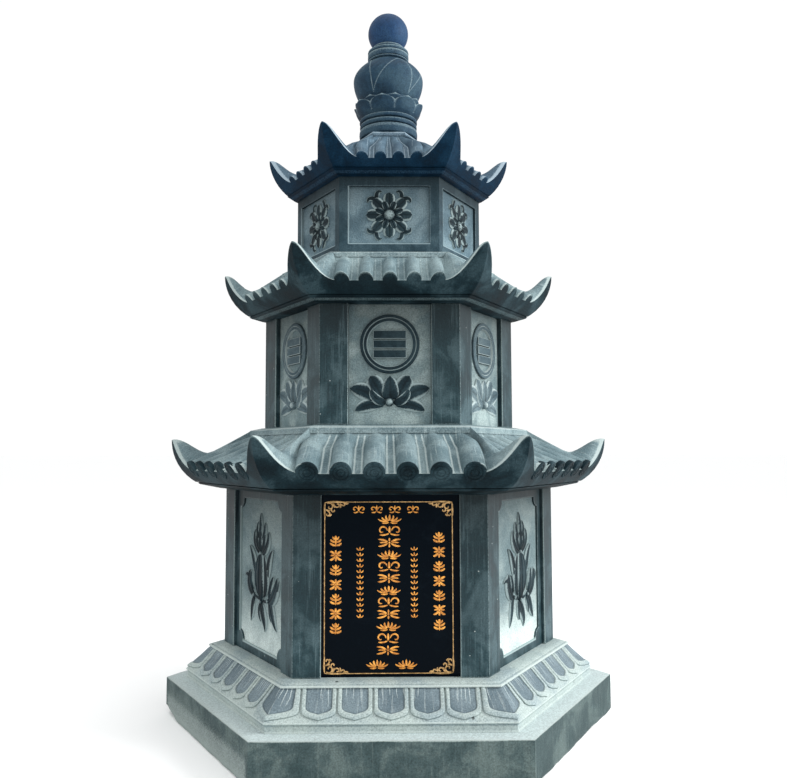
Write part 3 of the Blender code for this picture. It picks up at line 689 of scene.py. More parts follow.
def post_rings(storey, index):
    """An obtuse post round a corner: its plan carried up, with eased ends and a worn arris, painted
    pale as wear and highlight, and painted shade down its sides beside the slabs.

    Half of the plan, as (way along the face, way inwards, tone), is mirrored at the corner.
    """
    depth, ease = POST_DEPTH, 0.0025
    # Tones: the arris painted pale as wear and highlight, the sides beside the slabs as painted shade
    half = [(0.0010, 0.0004, 0.28), (0.0025, 0.0, 0.15), (0.0065, 0.0, 0.0),
            (storey["post"] - 0.006, 0.0, 0.0), (storey["post"] - 0.0030, 0.0, 0.30),
            (storey["post"] - 0.0005, 0.0025, 0.60), (storey["post"], 0.012, -0.25),
            (storey["post"], depth, -0.8)]
    angle = index * math.pi / 3.0
    rows = []
    for sign in (1.0, -1.0):
        facing = angle + sign * math.pi / SIDES
        way = facing + sign * 0.5 * math.pi
        along = np.array([math.cos(way), math.sin(way)])
        inward = -np.array([math.cos(facing), math.sin(facing)])
        side = [along * a + inward * b for a, b, _ in half]
        rows.append(side if sign > 0 else side[::-1])
    corner = np.array([math.cos(angle), math.sin(angle)])
    heel = -corner * depth / COS_HALF
    plan = np.array(rows[1] + rows[0] + [heel]) + corner * storey["radius"]
    tone = np.array([row[2] for row in half[::-1]] + [row[2] for row in half] + [-0.8])
    centre = corner * (storey["radius"] - 0.5 * depth)
    foot, top = storey["foot"] + SEAT_GAP, storey["top"] - SEAT_GAP
    rings, tones = [], []
    # Eased ends painted pale as wear and highlight
    for height, inset, wear in (
            (foot, ease, 0.2), (foot + ease, 0.0, 0.25), (foot + 0.012, 0.0, 0.0),
            (0.5 * (foot + top), 0.0, 0.0), (top - 0.012, 0.0, 0.0), (top - ease, 0.0, 0.2),
            (top, ease, 0.2)):
        trimmed = plan + (centre - plan) / np.linalg.norm(centre - plan, axis=1)[:, None] * inset
        rings.append(stack3(trimmed[:, 0], trimmed[:, 1], height))
        tones.append(np.maximum(tone, wear) if wear else tone)
    return np.array(rings), np.array(tones)


# Seeded unevenness of hand-worked edges

def wander(turn, cells, seed):
    """Even random values at regular places round the stone, joined smoothly, from 0 to 1."""
    values = np.random.default_rng(seed).random(cells)
    place = np.asarray(turn) / SIDES * cells
    low = np.floor(place).astype(int)
    share = smooth(place - low)
    return values[low % cells] * (1.0 - share) + values[(low + 1) % cells] * share


def chipped(turn, cells, seed, rare):
    """Chips that are left where the random values pass a high mark, and nothing elsewhere."""
    return np.clip(wander(turn, cells, seed) - rare, 0, 1)


def plinth_rings():
    """Six-sided slab whose edges are worn back by an uneven depth, deeper at one broken corner.

    Pale dust lies on the foot of its front left face, between turn 3 and 4.
    """
    radius, height = PLINTH_RADIUS, PLINTH_HEIGHT
    steps = 54
    turn = (np.arange(SIDES * steps) / steps)[None, :]
    worn = 0.0025 + 0.004 * wander(turn, 90, 3) + 0.012 * chipped(turn, 61, 4, 0.80)
    foot = 0.003 + 0.005 * wander(turn, 80, 5) + 0.03 * chipped(turn, 47, 6, 0.78)
    broken = np.exp(-((turn - 3.0) / 0.035) ** 2) + 0.6 * np.exp(-((turn - 3.07) / 0.05) ** 2)
    foot = foot + 0.022 * broken
    swing = 0.0012 * (wander(turn, 70, 8) - 0.5)
    face = radius - 0.0006
    # Tones: the worn top arris painted pale as wear and highlight, painted shade along the foot where
    # it meets the floor
    rows = [(0.70 * radius, height, 0.0), (radius - 0.06, height, 0.05),
            (radius - 2.2 * worn, height, 0.25), (radius - 0.7 * worn, height - 0.3 * worn, 0.7),
            (radius - 0.25 * worn, height - 0.9 * worn, 0.30),
            (radius - 0.10 * worn, height - 1.3 * worn, -0.10),
            (face + swing, height - 0.022, 0.0), (face - swing, 0.130, 0.0),
            (face + swing, 0.085, -0.05), (radius - 0.0008, 0.045, -0.1),
            (radius - 0.2 * foot, 1.4 * foot, 0.15), (radius - 0.9 * foot, 0.35 * foot, 0.3),
            (radius - 2.0 * foot, 0.0, -0.3), (0.60 * radius, 0.0, 0.0)]
    dusty = smooth((turn[0] - 3.0) / 0.03) * smooth((4.0 - turn[0]) / 0.03)
    rings, tones = [], []
    for row_radius, row_height, tone in rows:
        x, y = hexagon(turn, row_radius)
        rings.append(stack3(x, y, row_height)[0])
        dust = np.interp(np.mean(row_height), (0.0, 0.06, 0.09, 0.14), (0.55, 0.55, 0.42, 0.05))
        tones.append(tone + dust * dusty)
    return np.array(rings), np.array(tones)


# Reliefs

def scaled(rings, x, z, size, turn=0.0, flip=1.0):
    """Turn, flip, scale and move a relief form in the plane of its slab."""
    cos, sin = math.cos(turn), math.sin(turn)
    across, height = rings[..., 0] * size * flip, rings[..., 1] * size
    return stack3(x + across * cos - height * sin, z + across * sin + height * cos, rings[..., 2])


def spray(height):
    """The lotus spray of the lower slabs: flame bud, upright leaves, buds and hanging leaves.

    Each leaf is (curve, half-width, crown, peak, fullness, vein, cup, lift), in millimetres.
    """
    leaves = (
        (((-70, -112), (-112, -160), (-100, -200), (-128, -252)), 25, 12, 0.42, 1.5, 0.3, 0.2, 0),
        (((10, -135), (20, -190), (75, -215), (60, -276)), 34, 14, 0.45, 1.4, 0.3, 0.2, 0),
        (((10, -135), (-22, -170), (-12, -205), (6, -235)), 17, 11, 0.45, 1.4, 0.2, 0.0, 0),
        (((104, -120), (150, -150), (160, -205), (206, -252)), 32, 13, 0.42, 1.5, 0.3, 0.2, 0),
        (((104, -120), (128, -165), (122, -190), (140, -218)), 15, 10, 0.45, 1.4, 0.2, 0.0, 0),
        (((4, -128), (-50, -122), (-78, -112), (-98, -88)), 9, 9, 0.50, 0.6, 0.0, 0.0, 0),
        (((22, -130), (70, -134), (110, -122), (134, -96)), 9, 9, 0.50, 0.6, 0.0, 0.0, 0),
        (((-74, -116), (-132, -96), (-160, -50), (-134, 6)), 36, 15, 0.55, 1.2, 0.25, 0.1, 0),
        (((-92, -92), (-104, -60), (-106, -30), (-112, 2)), 17, 18, 0.50, 1.3, 0.2, 0.0, 0),
        (((-138, -40), (-160, -14), (-178, -14), (-202, -30)), 13, 13, 0.35, 1.4, 0.0, 0.0, 0),
        (((112, -128), (152, -110), (206, -80), (212, 4)), 38, 15, 0.55, 1.2, 0.25, 0.1, 0),
        (((122, -112), (132, -74), (150, -40), (166, 4)), 22, 18, 0.55, 1.3, 0.25, 0.0, 0),
        (((196, -66), (226, -54), (238, -34), (232, -8)), 12, 12, 0.45, 1.4, 0.0, 0.0, 0),
        (((-34, -30), (-74, 20), (-72, 80), (-138, 130)), 27, 14, 0.45, 1.4, 0.3, 0.2, 5),
        (((74, -30), (106, 20), (104, 84), (162, 130)), 27, 14, 0.45, 1.4, 0.3, 0.2, 5),
        (((-20, -110), (-62, -40), (-50, 30), (-16, 96)), 30, 15, 0.50, 1.3, 0.3, 0.1, 0),
        (((48, -110), (98, -40), (84, 30), (44, 96)), 30, 15, 0.50, 1.3, 0.3, 0.1, 0),
        (((14, -140), (16, -40), (14, 40), (12, 122)), 52, 22, 0.48, 1.35, 0.35, 0.0, 0),
        (((12, 96), (-46, 120), (-92, 160), (-72, 214)), 24, 14, 0.50, 1.4, 0.3, 0.0, 0),
        (((16, 96), (74, 120), (122, 160), (100, 214)), 24, 14, 0.50, 1.4, 0.3, 0.0, 0),
        (((8, 110), (-30, 140), (-44, 170), (-30, 214)), 24, 16, 0.50, 1.3, 0.3, 0.0, 0),
        (((18, 110), (58, 140), (70, 170), (56, 214)), 24, 16, 0.50, 1.3, 0.3, 0.0, 0),
        (((13, 104), (13, 140), (13, 176), (13, 208)), 27, 19, 0.50, 1.3, 0.35, 0.0, 0),
        (((6, 168), (-32, 190), (-46, 218), (-32, 256)), 18, 14, 0.50, 1.4, 0.3, 0.0, 0),
        (((20, 168), (56, 190), (70, 218), (56, 256)), 18, 14, 0.50, 1.4, 0.3, 0.0, 0),
        (((12, 172), (12, 200), (12, 226), (12, 262)), 22, 18, 0.45, 1.4, 0.35, 0.0, 0),
        (((12, 216), (14, 240), (8, 272), (4, 302)), 16, 15, 0.38, 1.6, 0.3, 0.0, 0),
    )
    for curve, width, crown, peak, fullness, vein, cup, lift in leaves:
        controls = np.array(curve, float) * 0.001
        yield leaf(controls, width * 0.001, crown * 0.001 * height, peak, fullness, vein, cup,
                   lift * 0.001, steps=13)
    for x, z, radius in ((12, -134, 13), (-72, -112, 11), (108, -120, 11), (14, 104, 12)):
        yield knob(x * 0.001, z * 0.001, radius * 0.001, 0.019 * height)


def water_lotus(height):
    """The open lotus of the middle slabs: cupped petals round a ball, in millimetres.

    Each row is one petal of the right half, from the lowest to the topmost, with its mirror image.
    """
    leaves = (
        (((20, -46), (75, -46), (120, -50), (169, -82)), 31, 11, 0.52, 1.05, 0.12, 0.2, 2),
        (((34, -24), (90, -2), (130, 22), (194, 28)), 42, 12, 0.50, 1.10, 0.12, 0.2, 2),
        (((24, -28), (50, 0), (66, 44), (96, 87)), 43, 15, 0.60, 0.95, 0.15, 0.3, 4),
        (((16, -42), (50, -42), (84, -22), (91, 24)), 25, 20, 0.50, 1.20, 0.12, 0.3, 4),
        (((20, -42), (50, -36), (75, -32), (102, -28)), 12, 18, 0.50, 1.20, 0.0, 0.2, 0),
    )
    for curve, width, crown, peak, fullness, vein, cup, lift in leaves:
        for flip in (1.0, -1.0):
            controls = np.array(curve, float) * (0.001 * flip, 0.001)
            yield leaf(controls, width * 0.001, crown * 0.001 * height, peak, fullness, vein, cup,
                       lift * 0.001, steps=13)
    yield leaf(((0.002, -0.030), (0.002, 0.0), (0.002, 0.040), (0.001, 0.088)), 0.050,
               0.017 * height, 0.42, 1.25, 0.15, 0.1, 0.003, steps=13)
    yield knob(-0.003, -0.040, 0.021, 0.028 * height, 18, 6)


def rosette(height):
    """A plain lotus rosette with corner leaves, for the slabs of the upper storey."""
    for step in range(8):
        turn = step * math.pi / 4.0
        form, tone = leaf(((0, 0.022), (0, 0.05), (0, 0.07), (0, 0.098)), 0.025, 0.013 * height,
                          0.62, 1.0, 0.25, 0.25, 0.003)
        yield scaled(form, 0.0, 0.0, 1.0, turn), tone
    for step in range(8):
        turn = (step + 0.5) * math.pi / 4.0
        form, tone = leaf(((0, 0.02), (0, 0.034), (0, 0.048), (0, 0.064)), 0.015, 0.018 * height,
                          0.60, 1.0, 0.25, 0.1, 0.0)
        yield scaled(form, 0.0, 0.0, 1.0, turn), tone
    for step in range(4):
        turn = math.radians(38.0) * (1 if step % 2 else -1) + (math.pi if step > 1 else 0.0)
        for flip in (-1.0, 1.0):
            form, tone = leaf(((0, 0.086), (0.012, 0.108), (0.030, 0.116), (0.038, 0.098)),
                              0.010, 0.010 * height, 0.4, 1.2, 0.2)
            yield scaled(form, 0.0, 0.0, 1.0, turn, flip), tone
    yield knob(0.0, 0.0, 0.026, 0.020 * height, 20, 6)
    for step in range(6):
        turn = step * math.pi / 3.0
        yield knob(0.014 * math.cos(turn), 0.014 * math.sin(turn), 0.0042, 0.0245 * height, 8, 3)


def bay(storey):
    """Half width, foot, top and distance from the axis of the slabs between a storey's posts."""
    return (0.5 * storey["radius"] - storey["post"] - SEAT_GAP, storey["foot"] + SEAT_GAP,
            storey["top"] - SEAT_GAP, storey["radius"] * COS_HALF - storey["setback"])


def add_relief(carving, forms, index, distance, x, z, finish, flip=1.0, size=1.0):
    """Put relief forms on a face, round the point (x, z) of its plane."""
    for rings, tone in forms:
        carving.shell(on_face(index, scaled(rings, x, z, size, 0.0, flip), distance), finish, tone)


# Gilded work of the plaque: plain ornament only

GILD_CROWN = 0.0016


def gilt(controls, half_width, peak=0.5, fullness=0.9, steps=8):
    """A flat gilded stroke with rounded ends."""
    return leaf(controls, half_width, GILD_CROWN, peak, fullness, 0.0, 0.0, 0.0, steps, 4)


def curl(x, z, start, sweep, radius, end_radius, half_width, steps=16):
    """A gilded spiral: its radius falls evenly with its angle."""
    angle = start + sweep * np.linspace(0.0, 1.0, steps)
    spread = np.linspace(radius, end_radius, steps)
    path = np.stack([x + spread * np.cos(angle), z + spread * np.sin(angle)], -1)
    tangent = np.gradient(path, axis=0)
    tangent /= np.linalg.norm(tangent, axis=1, keepdims=True)
    side = np.stack([-tangent[:, 1], tangent[:, 0]], -1)
    width = half_width * (0.35 + 0.65 * swell(steps, 0.4, 0.8)) + 0.0002
    s = np.array([-1.0, -0.5, 0.5, 1.0])
    flat = path[:, None, :] + side[:, None, :] * (width[:, None] * s)[..., None]
    out = np.broadcast_to(GILD_CROWN * (1.0 - 0.8 * s ** 4), flat.shape[:2])
    below = np.concatenate([flat[:, [-1, 0]], np.full((steps, 2, 1), -SINK)], -1)
    rings = np.concatenate([np.concatenate([flat, out[..., None]], -1), below], 1)
    return rings, np.zeros(rings.shape[:2])


def strokes(rows, wide, high):
    """Gilded strokes from rows of (half-width, peak, curve), mirrored where a row starts with 2."""
    for copies, half_width, peak, curve in rows:
        for flip in (1.0, -1.0)[:copies]:
            controls = [(flip * x * wide, z * high) for x, z in curve]
            yield gilt(controls, half_width * high, peak)


def blossom(wide, high):
    """Open lotus seen from the side: three upright petals over two pairs laid outwards."""
    yield from strokes((
        (1, 0.20, 0.45, ((0, -0.35), (0, 0.1), (0, 0.98))),
        (2, 0.17, 0.50, ((0.06, -0.35), (0.38, 0.0), (0.30, 0.80))),
        (2, 0.15, 0.50, ((0.10, -0.42), (0.62, -0.2), (0.66, 0.42))),
        (2, 0.13, 0.50, ((0.14, -0.52), (0.70, -0.62), (1.0, 0.05))),
        (2, 0.12, 0.50, ((0.05, -0.70), (0.35, -0.98), (0.66, -0.80)))), wide, high)


def scroll_pair(wide, high):
    """Two facing curls with a bud between and leaves below."""
    for flip in (1.0, -1.0):
        start = 0.0 if flip < 0 else math.pi
        yield curl(flip * 0.60 * wide, 0.05 * high, start, -flip * 5.2, 0.42 * wide, 0.10 * wide,
                   0.16 * high)
    yield from strokes((
        (1, 0.22, 0.40, ((0, -0.45), (0, 0.1), (0, 1.0))),
        (2, 0.14, 0.50, ((0.04, -0.55), (0.40, -1.0), (0.84, -0.85)))), wide, high)


def crossed_leaves(wide, high):
    """Four long leaves about a button, with a stalk across."""
    yield from strokes((
        (2, 0.17, 0.50, ((0.12, 0.10), (0.45, 0.75), (0.95, 0.70))),
        (2, 0.17, 0.50, ((0.12, -0.10), (0.45, -0.75), (0.95, -0.75))),
        (2, 0.13, 0.50, ((0.20, 0.0), (0.50, 0.12), (0.82, 0.0))),
        (1, 0.15, 0.50, ((0, 0.25), (0, 0.6), (0, 1.0))),
        (1, 0.15, 0.50, ((0, -0.25), (0, -0.6), (0, -1.0)))), wide, high)
    yield knob(0.0, 0.0, 0.20 * high, 0.0018, 10, 3)


def sprig(wide, high):
    """Upright sprig of three pairs of leaves."""
    yield from strokes((
        (1, 0.12, 0.50, ((0, -1.0), (0, 0.0), (0, 0.6))),
        (1, 0.20, 0.50, ((0, 0.25), (0, 0.6), (0, 1.0))),
        (2, 0.16, 0.50, ((0.05, -0.75), (0.55, -0.75), (0.92, -0.30))),
        (2, 0.16, 0.50, ((0.05, -0.15), (0.55, -0.15), (0.85, 0.35))),
        (2, 0.12, 0.50, ((0.05, 0.25), (0.35, 0.35), (0.50, 0.85)))), wide, high)


def small_bud(wide, high):
    """Bud with two leaves, the motif of the thin columns."""
    yield from strokes((
        (1, 0.26, 0.45, ((0, -0.6), (0, 0.2), (0, 0.95))),
        (2, 0.24, 0.50, ((0.05, -0.7), (0.75, -0.5), (0.9, 0.45)))), wide, high)


def corner_scroll(size):
    """Scroll work for the corner of the border, its corner at the origin, growing to +x, +z."""
    for x, z, start, sweep, spread in (
            (0.26, 0.24, -2.36, 6.0, 0.22), (0.66, 0.15, 3.14, -5.3, 0.15),
            (0.15, 0.62, -1.57, 5.3, 0.14), (0.98, 0.10, 3.14, -4.6, 0.10),
            (0.45, 0.42, 3.9, -4.6, 0.11)):
        yield curl(x * size, z * size, start, sweep, spread * size, 0.04 * size, 0.034 * size, 14)
    for curve in (
            ((0.0, 0.02), (0.5, -0.04), (1.16, 0.02)), ((0.02, 0.0), (-0.04, 0.4), (0.02, 0.86)),
            ((0.40, 0.05), (0.52, 0.14), (0.50, 0.30)), ((0.05, 0.38), (0.16, 0.46), (0.30, 0.44)),
            ((0.80, 0.06), (0.86, 0.20), (0.80, 0.30)), ((0.20, 0.70), (0.30, 0.72), (0.36, 0.62)),
            ((1.05, 0.06), (1.16, 0.12), (1.24, 0.04))):
        yield gilt([(x * size, z * size) for x, z in curve], 0.038 * size)


def gild_plaque(carving, distance):
    """All gilded ornament of the plaque, in plain motifs.

    A border line with scrolls in its corners, twelve motifs down the middle, seven down each side,
    two thin columns of thirteen between them, four at the top and two at the foot.
    """
    left, right, low, high = -0.302, 0.284, 0.392, 1.163
    middle_x, middle_z = 0.5 * (left + right), 0.5 * (low + high)
    half_x, half_z = 0.5 * (right - left), 0.5 * (high - low)

    def put(forms, x, z, flip=1.0, turn=0.0, finish=1):
        for rings, tone in forms:
            placed = scaled(rings, x, z, 1.0, turn, flip)
            carving.shell(on_face(FRONT, placed, distance), finish, tone)

    size = 0.088
    for sign in (-1.0, 1.0):
        put([bar(0.0, 0.0, 0.0020, half_z - 0.8 * size, 0.0012, 0.0003)], middle_x + sign * half_x,
            middle_z, finish=2)
        put([bar(0.0, 0.0, half_x - 1.1 * size, 0.0018, 0.0012, 0.0003)], middle_x,
            middle_z + sign * half_z, finish=2)
        corner = list(corner_scroll(size))
        put(corner, middle_x - sign * half_x, middle_z - half_z, sign, finish=2)
        put(corner, middle_x + sign * half_x, middle_z + half_z, sign, math.pi, finish=2)
    for step in range(12):
        motif = (blossom, scroll_pair, crossed_leaves)[step % 3]
        put(motif(0.054, 0.0215), -0.004 - 0.0008 * step, 1.085 - step * 0.0537)
    for x, first in ((-0.251, 0.985), (0.222, 1.000)):
        for step in range(7):
            motif = (sprig, crossed_leaves)[step % 2]
            put(motif(0.029, 0.0255), x, first - step * 0.0655)
    for x in (-0.140, 0.108):
        for step in range(13):
            put(small_bud(0.0165, 0.0095), x, 0.950 - step * 0.0252)
    for step in range(4):
        put(scroll_pair(0.029, 0.017), -0.146 + step * 0.0830, 1.130)
    for x in (-0.062, 0.070):
        put(blossom(0.050, 0.0215), x, 0.432)


# Materials

def linear(code):
    """Linear colour of an sRGB hex code: ((c + 0.055) / 1.055)^2.4 above 0.04045."""
    parts = [int(code[i:i + 2], 16) / 255.0 for i in (1, 3, 5)]
    return tuple(p / 12.92 if p <= 0.04045 else ((p + 0.055) / 1.055) ** 2.4 for p in parts)


def rgba(code):
    """The same with full opacity."""
    return (*linear(code), 1.0)


def add(tree, kind, settings=None, **links):
    """Add a node, set its properties, and feed its inputs from values or other outputs.

    An input is named by its index after an underscore, or by its name with spaces as underscores.
    """
    node = tree.nodes.new(kind)
    for name, value in (settings or {}).items():
        setattr(node, name, value)
    for name, value in links.items():
        key = int(name[1:]) if name[0] == "_" else name.replace("_", " ")
        target = node.inputs[key]
        if isinstance(value, bpy.types.NodeSocket):
            tree.links.new(value, target)
        else:
            target.default_value = value
    return node


def remap(tree, value, low, high, to_low=0.0, to_high=1.0, eased=False):
    """Carry a value from one range into another and hold it there."""
    settings = {"interpolation_type": "SMOOTHSTEP"} if eased else None
    return add(tree, "ShaderNodeMapRange", settings, Value=value, From_Min=low, From_Max=high,
               To_Min=to_low, To_Max=to_high).outputs[0]


def calc(tree, operation, *values, clamp=False):
    """One step of arithmetic on numbers and outputs."""
    links = {f"_{index}": value for index, value in enumerate(values)}
    return add(tree, "ShaderNodeMath", {"operation": operation, "use_clamp": clamp},
               **links).outputs[0]


def noise(tree, place, scale, detail, roughness=0.5, distortion=0.0):
    """Smooth random values, this many waves to the metre."""
    return add(tree, "ShaderNodeTexNoise", None, Vector=place, Scale=scale, Detail=detail,
               Roughness=roughness, Distortion=distortion).outputs["Fac"]


def spots(tree, place, cells, edge, core, amount):
    """Round spots, this many cells to the metre; edge and core are radii as shares of a cell."""
    near = add(tree, "ShaderNodeTexVoronoi", None, Vector=place, Scale=cells, Randomness=1.0)
    return remap(tree, near.outputs["Distance"], edge, core, 0.0, amount)


def part_of(tree, vector, axis):
    """One of the three values of a vector output."""
    return add(tree, "ShaderNodeSeparateXYZ", None, Vector=vector).outputs[axis]


def scale_colour(tree, colour, amount):
    """A colour made brighter or darker by an output."""
    return add(tree, "ShaderNodeVectorMath", {"operation": "SCALE"}, _0=colour,
               Scale=amount).outputs[0]


def new_material(name, preview):
    """A material with nodes, its tree and its shader; the preview is its colour when unlit."""
    material = bpy.data.materials.new(name)
    material.use_nodes = True
    material.diffuse_color = rgba(preview)
    tree = material.node_tree
    return material, tree, tree.nodes["Principled BSDF"]


# How bright a wall is painted at a share of its height, against its middle: pale with dust at the
# foot, darker under the eave with damp and painted shade
SHADE = ((-0.15, 1.20), (0.16, 1.15), (0.33, 1.03), (0.62, 1.0), (0.78, 0.88), (0.90, 0.77),
         (1.0, 0.68), (1.1, 0.68))
RAMP_REACH = 4.0

# Finishes: base, dark and light tone, edge colour of worn and lit edges, roughness, vertical streaks,
# mottling, pick marks; then lines of a toothed chisel, long cuts, dust, flecks, pits, colour painted
# on flat tops as light from above, gloss, and whether the finish takes painted shade and damp under
# each eave and dust at each foot, by its height
FINISHES = {}


def finish(name, base, dark, light, edge, **extra):
    """Note one granite finish under the name of how its surface was made."""
    FINISHES[name] = dict(base=base, dark=dark, light=light, edge=edge, **extra)


# Fine sawn slab, left rough: grey green, blotched where rain has run down its faces
finish("sawn_granite", "#3f4f50", "#283a3c", "#687673", "#a4b0ad", rough=0.72, streaks=0.55,
       mottle=0.34, picks=0.35, top="#bccaca")
# Chiselled by hand and dusty, so it reads almost white in open light
finish("chiselled_granite", "#97a5a4", "#83949a", "#aab6b2", "#bdc9c5", rough=0.78, streaks=0.12,
       mottle=0.30, picks=0.45, pits=0.85)
# Sunk fields between raised borders, bluer, with long bright chisel cuts from above
finish("lined_granite", "#66757c", "#53646c", "#7a8a90", "#cdd8d6", rough=0.74, streaks=0.10,
       mottle=0.30, picks=0.30, lines=0.35, cuts=0.8)
# Ground with a fine stone: dark and dense, a soft sheen and pale run marks
finish("honed_granite", "#1d3136", "#101e23", "#4e6166", "#93a4a4", rough=0.50, streaks=0.85,
       mottle=0.28, picks=0.18, flecks=0.5, weather=True)
# Worked over with a pointed pick: the bruised grain turns pale and matt
finish("picked_granite", "#6c7b7c", "#54666a", "#8e9c9b", "#aebab8", rough=0.82, streaks=0.14,
       mottle=0.42, picks=0.75, weather=True)
# The same by the ground, where pale dust lies on the foot of the slab
finish("dusty_picked_granite", "#6c7c7e", "#55676b", "#8c9a99", "#b6c1be", rough=0.82, streaks=0.14,
       mottle=0.40, picks=0.75, dust=0.75, weather=True)
# Relief left standing over the picked ground and honed dark
finish("relief_granite", "#16262c", "#0b161b", "#33454b", "#97a8a9", rough=0.60, streaks=0.0,
       mottle=0.30, picks=0.30, gloss=0.10, weather=True)
# Relief bruised along with its ground, so that it stands out only by its edges
finish("bruised_relief_granite", "#4b5b61", "#35454c", "#68787c", "#a9b6b5", rough=0.75,
       streaks=0.0, mottle=0.35, picks=0.50, gloss=0.10, weather=True)
# Outer faces of the eaves, honed and shaded
finish("eave_granite", "#15262c", "#0b171c", "#34464c", "#7f9294", rough=0.66, streaks=0.10,
       mottle=0.45, picks=0.25, gloss=0.06)
# Tops of the tiles, dressed with a toothed chisel down the slope
finish("tile_granite", "#697c81", "#52676d", "#8a9c9e", "#b7c4c2", rough=0.76, streaks=0.0,
       mottle=0.36, picks=0.30, lines=0.40)
# The same dark finish and the others on the upper stones, with the blue of the sky painted into their
# colour as a reflection
finish("blue_eave_granite", "#041f31", "#031421", "#153145", "#4a6376", rough=0.64, streaks=0.10,
       mottle=0.35, picks=0.20, gloss=0.06)
finish("blue_tile_granite", "#435866", "#2f4455", "#5f7685", "#a3b4be", rough=0.74, streaks=0.0,
       mottle=0.30, picks=0.30, lines=0.40)
finish("blue_honed_granite", "#263840", "#16282f", "#43565d", "#84969b", rough=0.60, streaks=0.30,
       mottle=0.40, picks=0.20, gloss=0.12, weather=True)
finish("blue_picked_granite", "#53666e", "#3c4f58", "#74868c", "#a9b8bb", rough=0.80, streaks=0.12,
       mottle=0.40, picks=0.60, weather=True)
# Turned and ground on a wheel: an even blue black with a faint bloom
finish("turned_granite", "#22394a", "#162937", "#3b515d", "#7d9096", rough=0.60, streaks=0.15,
       mottle=0.40, picks=0.15, gloss=0.10)
# The ball, ground finer than the rest, with the blue of the sky painted into its colour as a
# reflection
finish("ball_granite_with_painted_sky", "#1b3655", "#12273f", "#304c66", "#7d9096", rough=0.55, streaks=0.0,
       mottle=0.30, picks=0.10, gloss=0.12)


def stone(name):
    """The material of a finish, made on first use."""
    found = bpy.data.materials.get(name)
    if found:
        return found
    if name == "polished_black_granite":
        return polished_black(name)
    if name == "gilded_work":
        return gilded(name, "#b5701d", "#eaa23e")
    if name == "gilded_border":
        return gilded(name, "#96733f", "#d0a569")
    return granite(name, FINISHES[name])


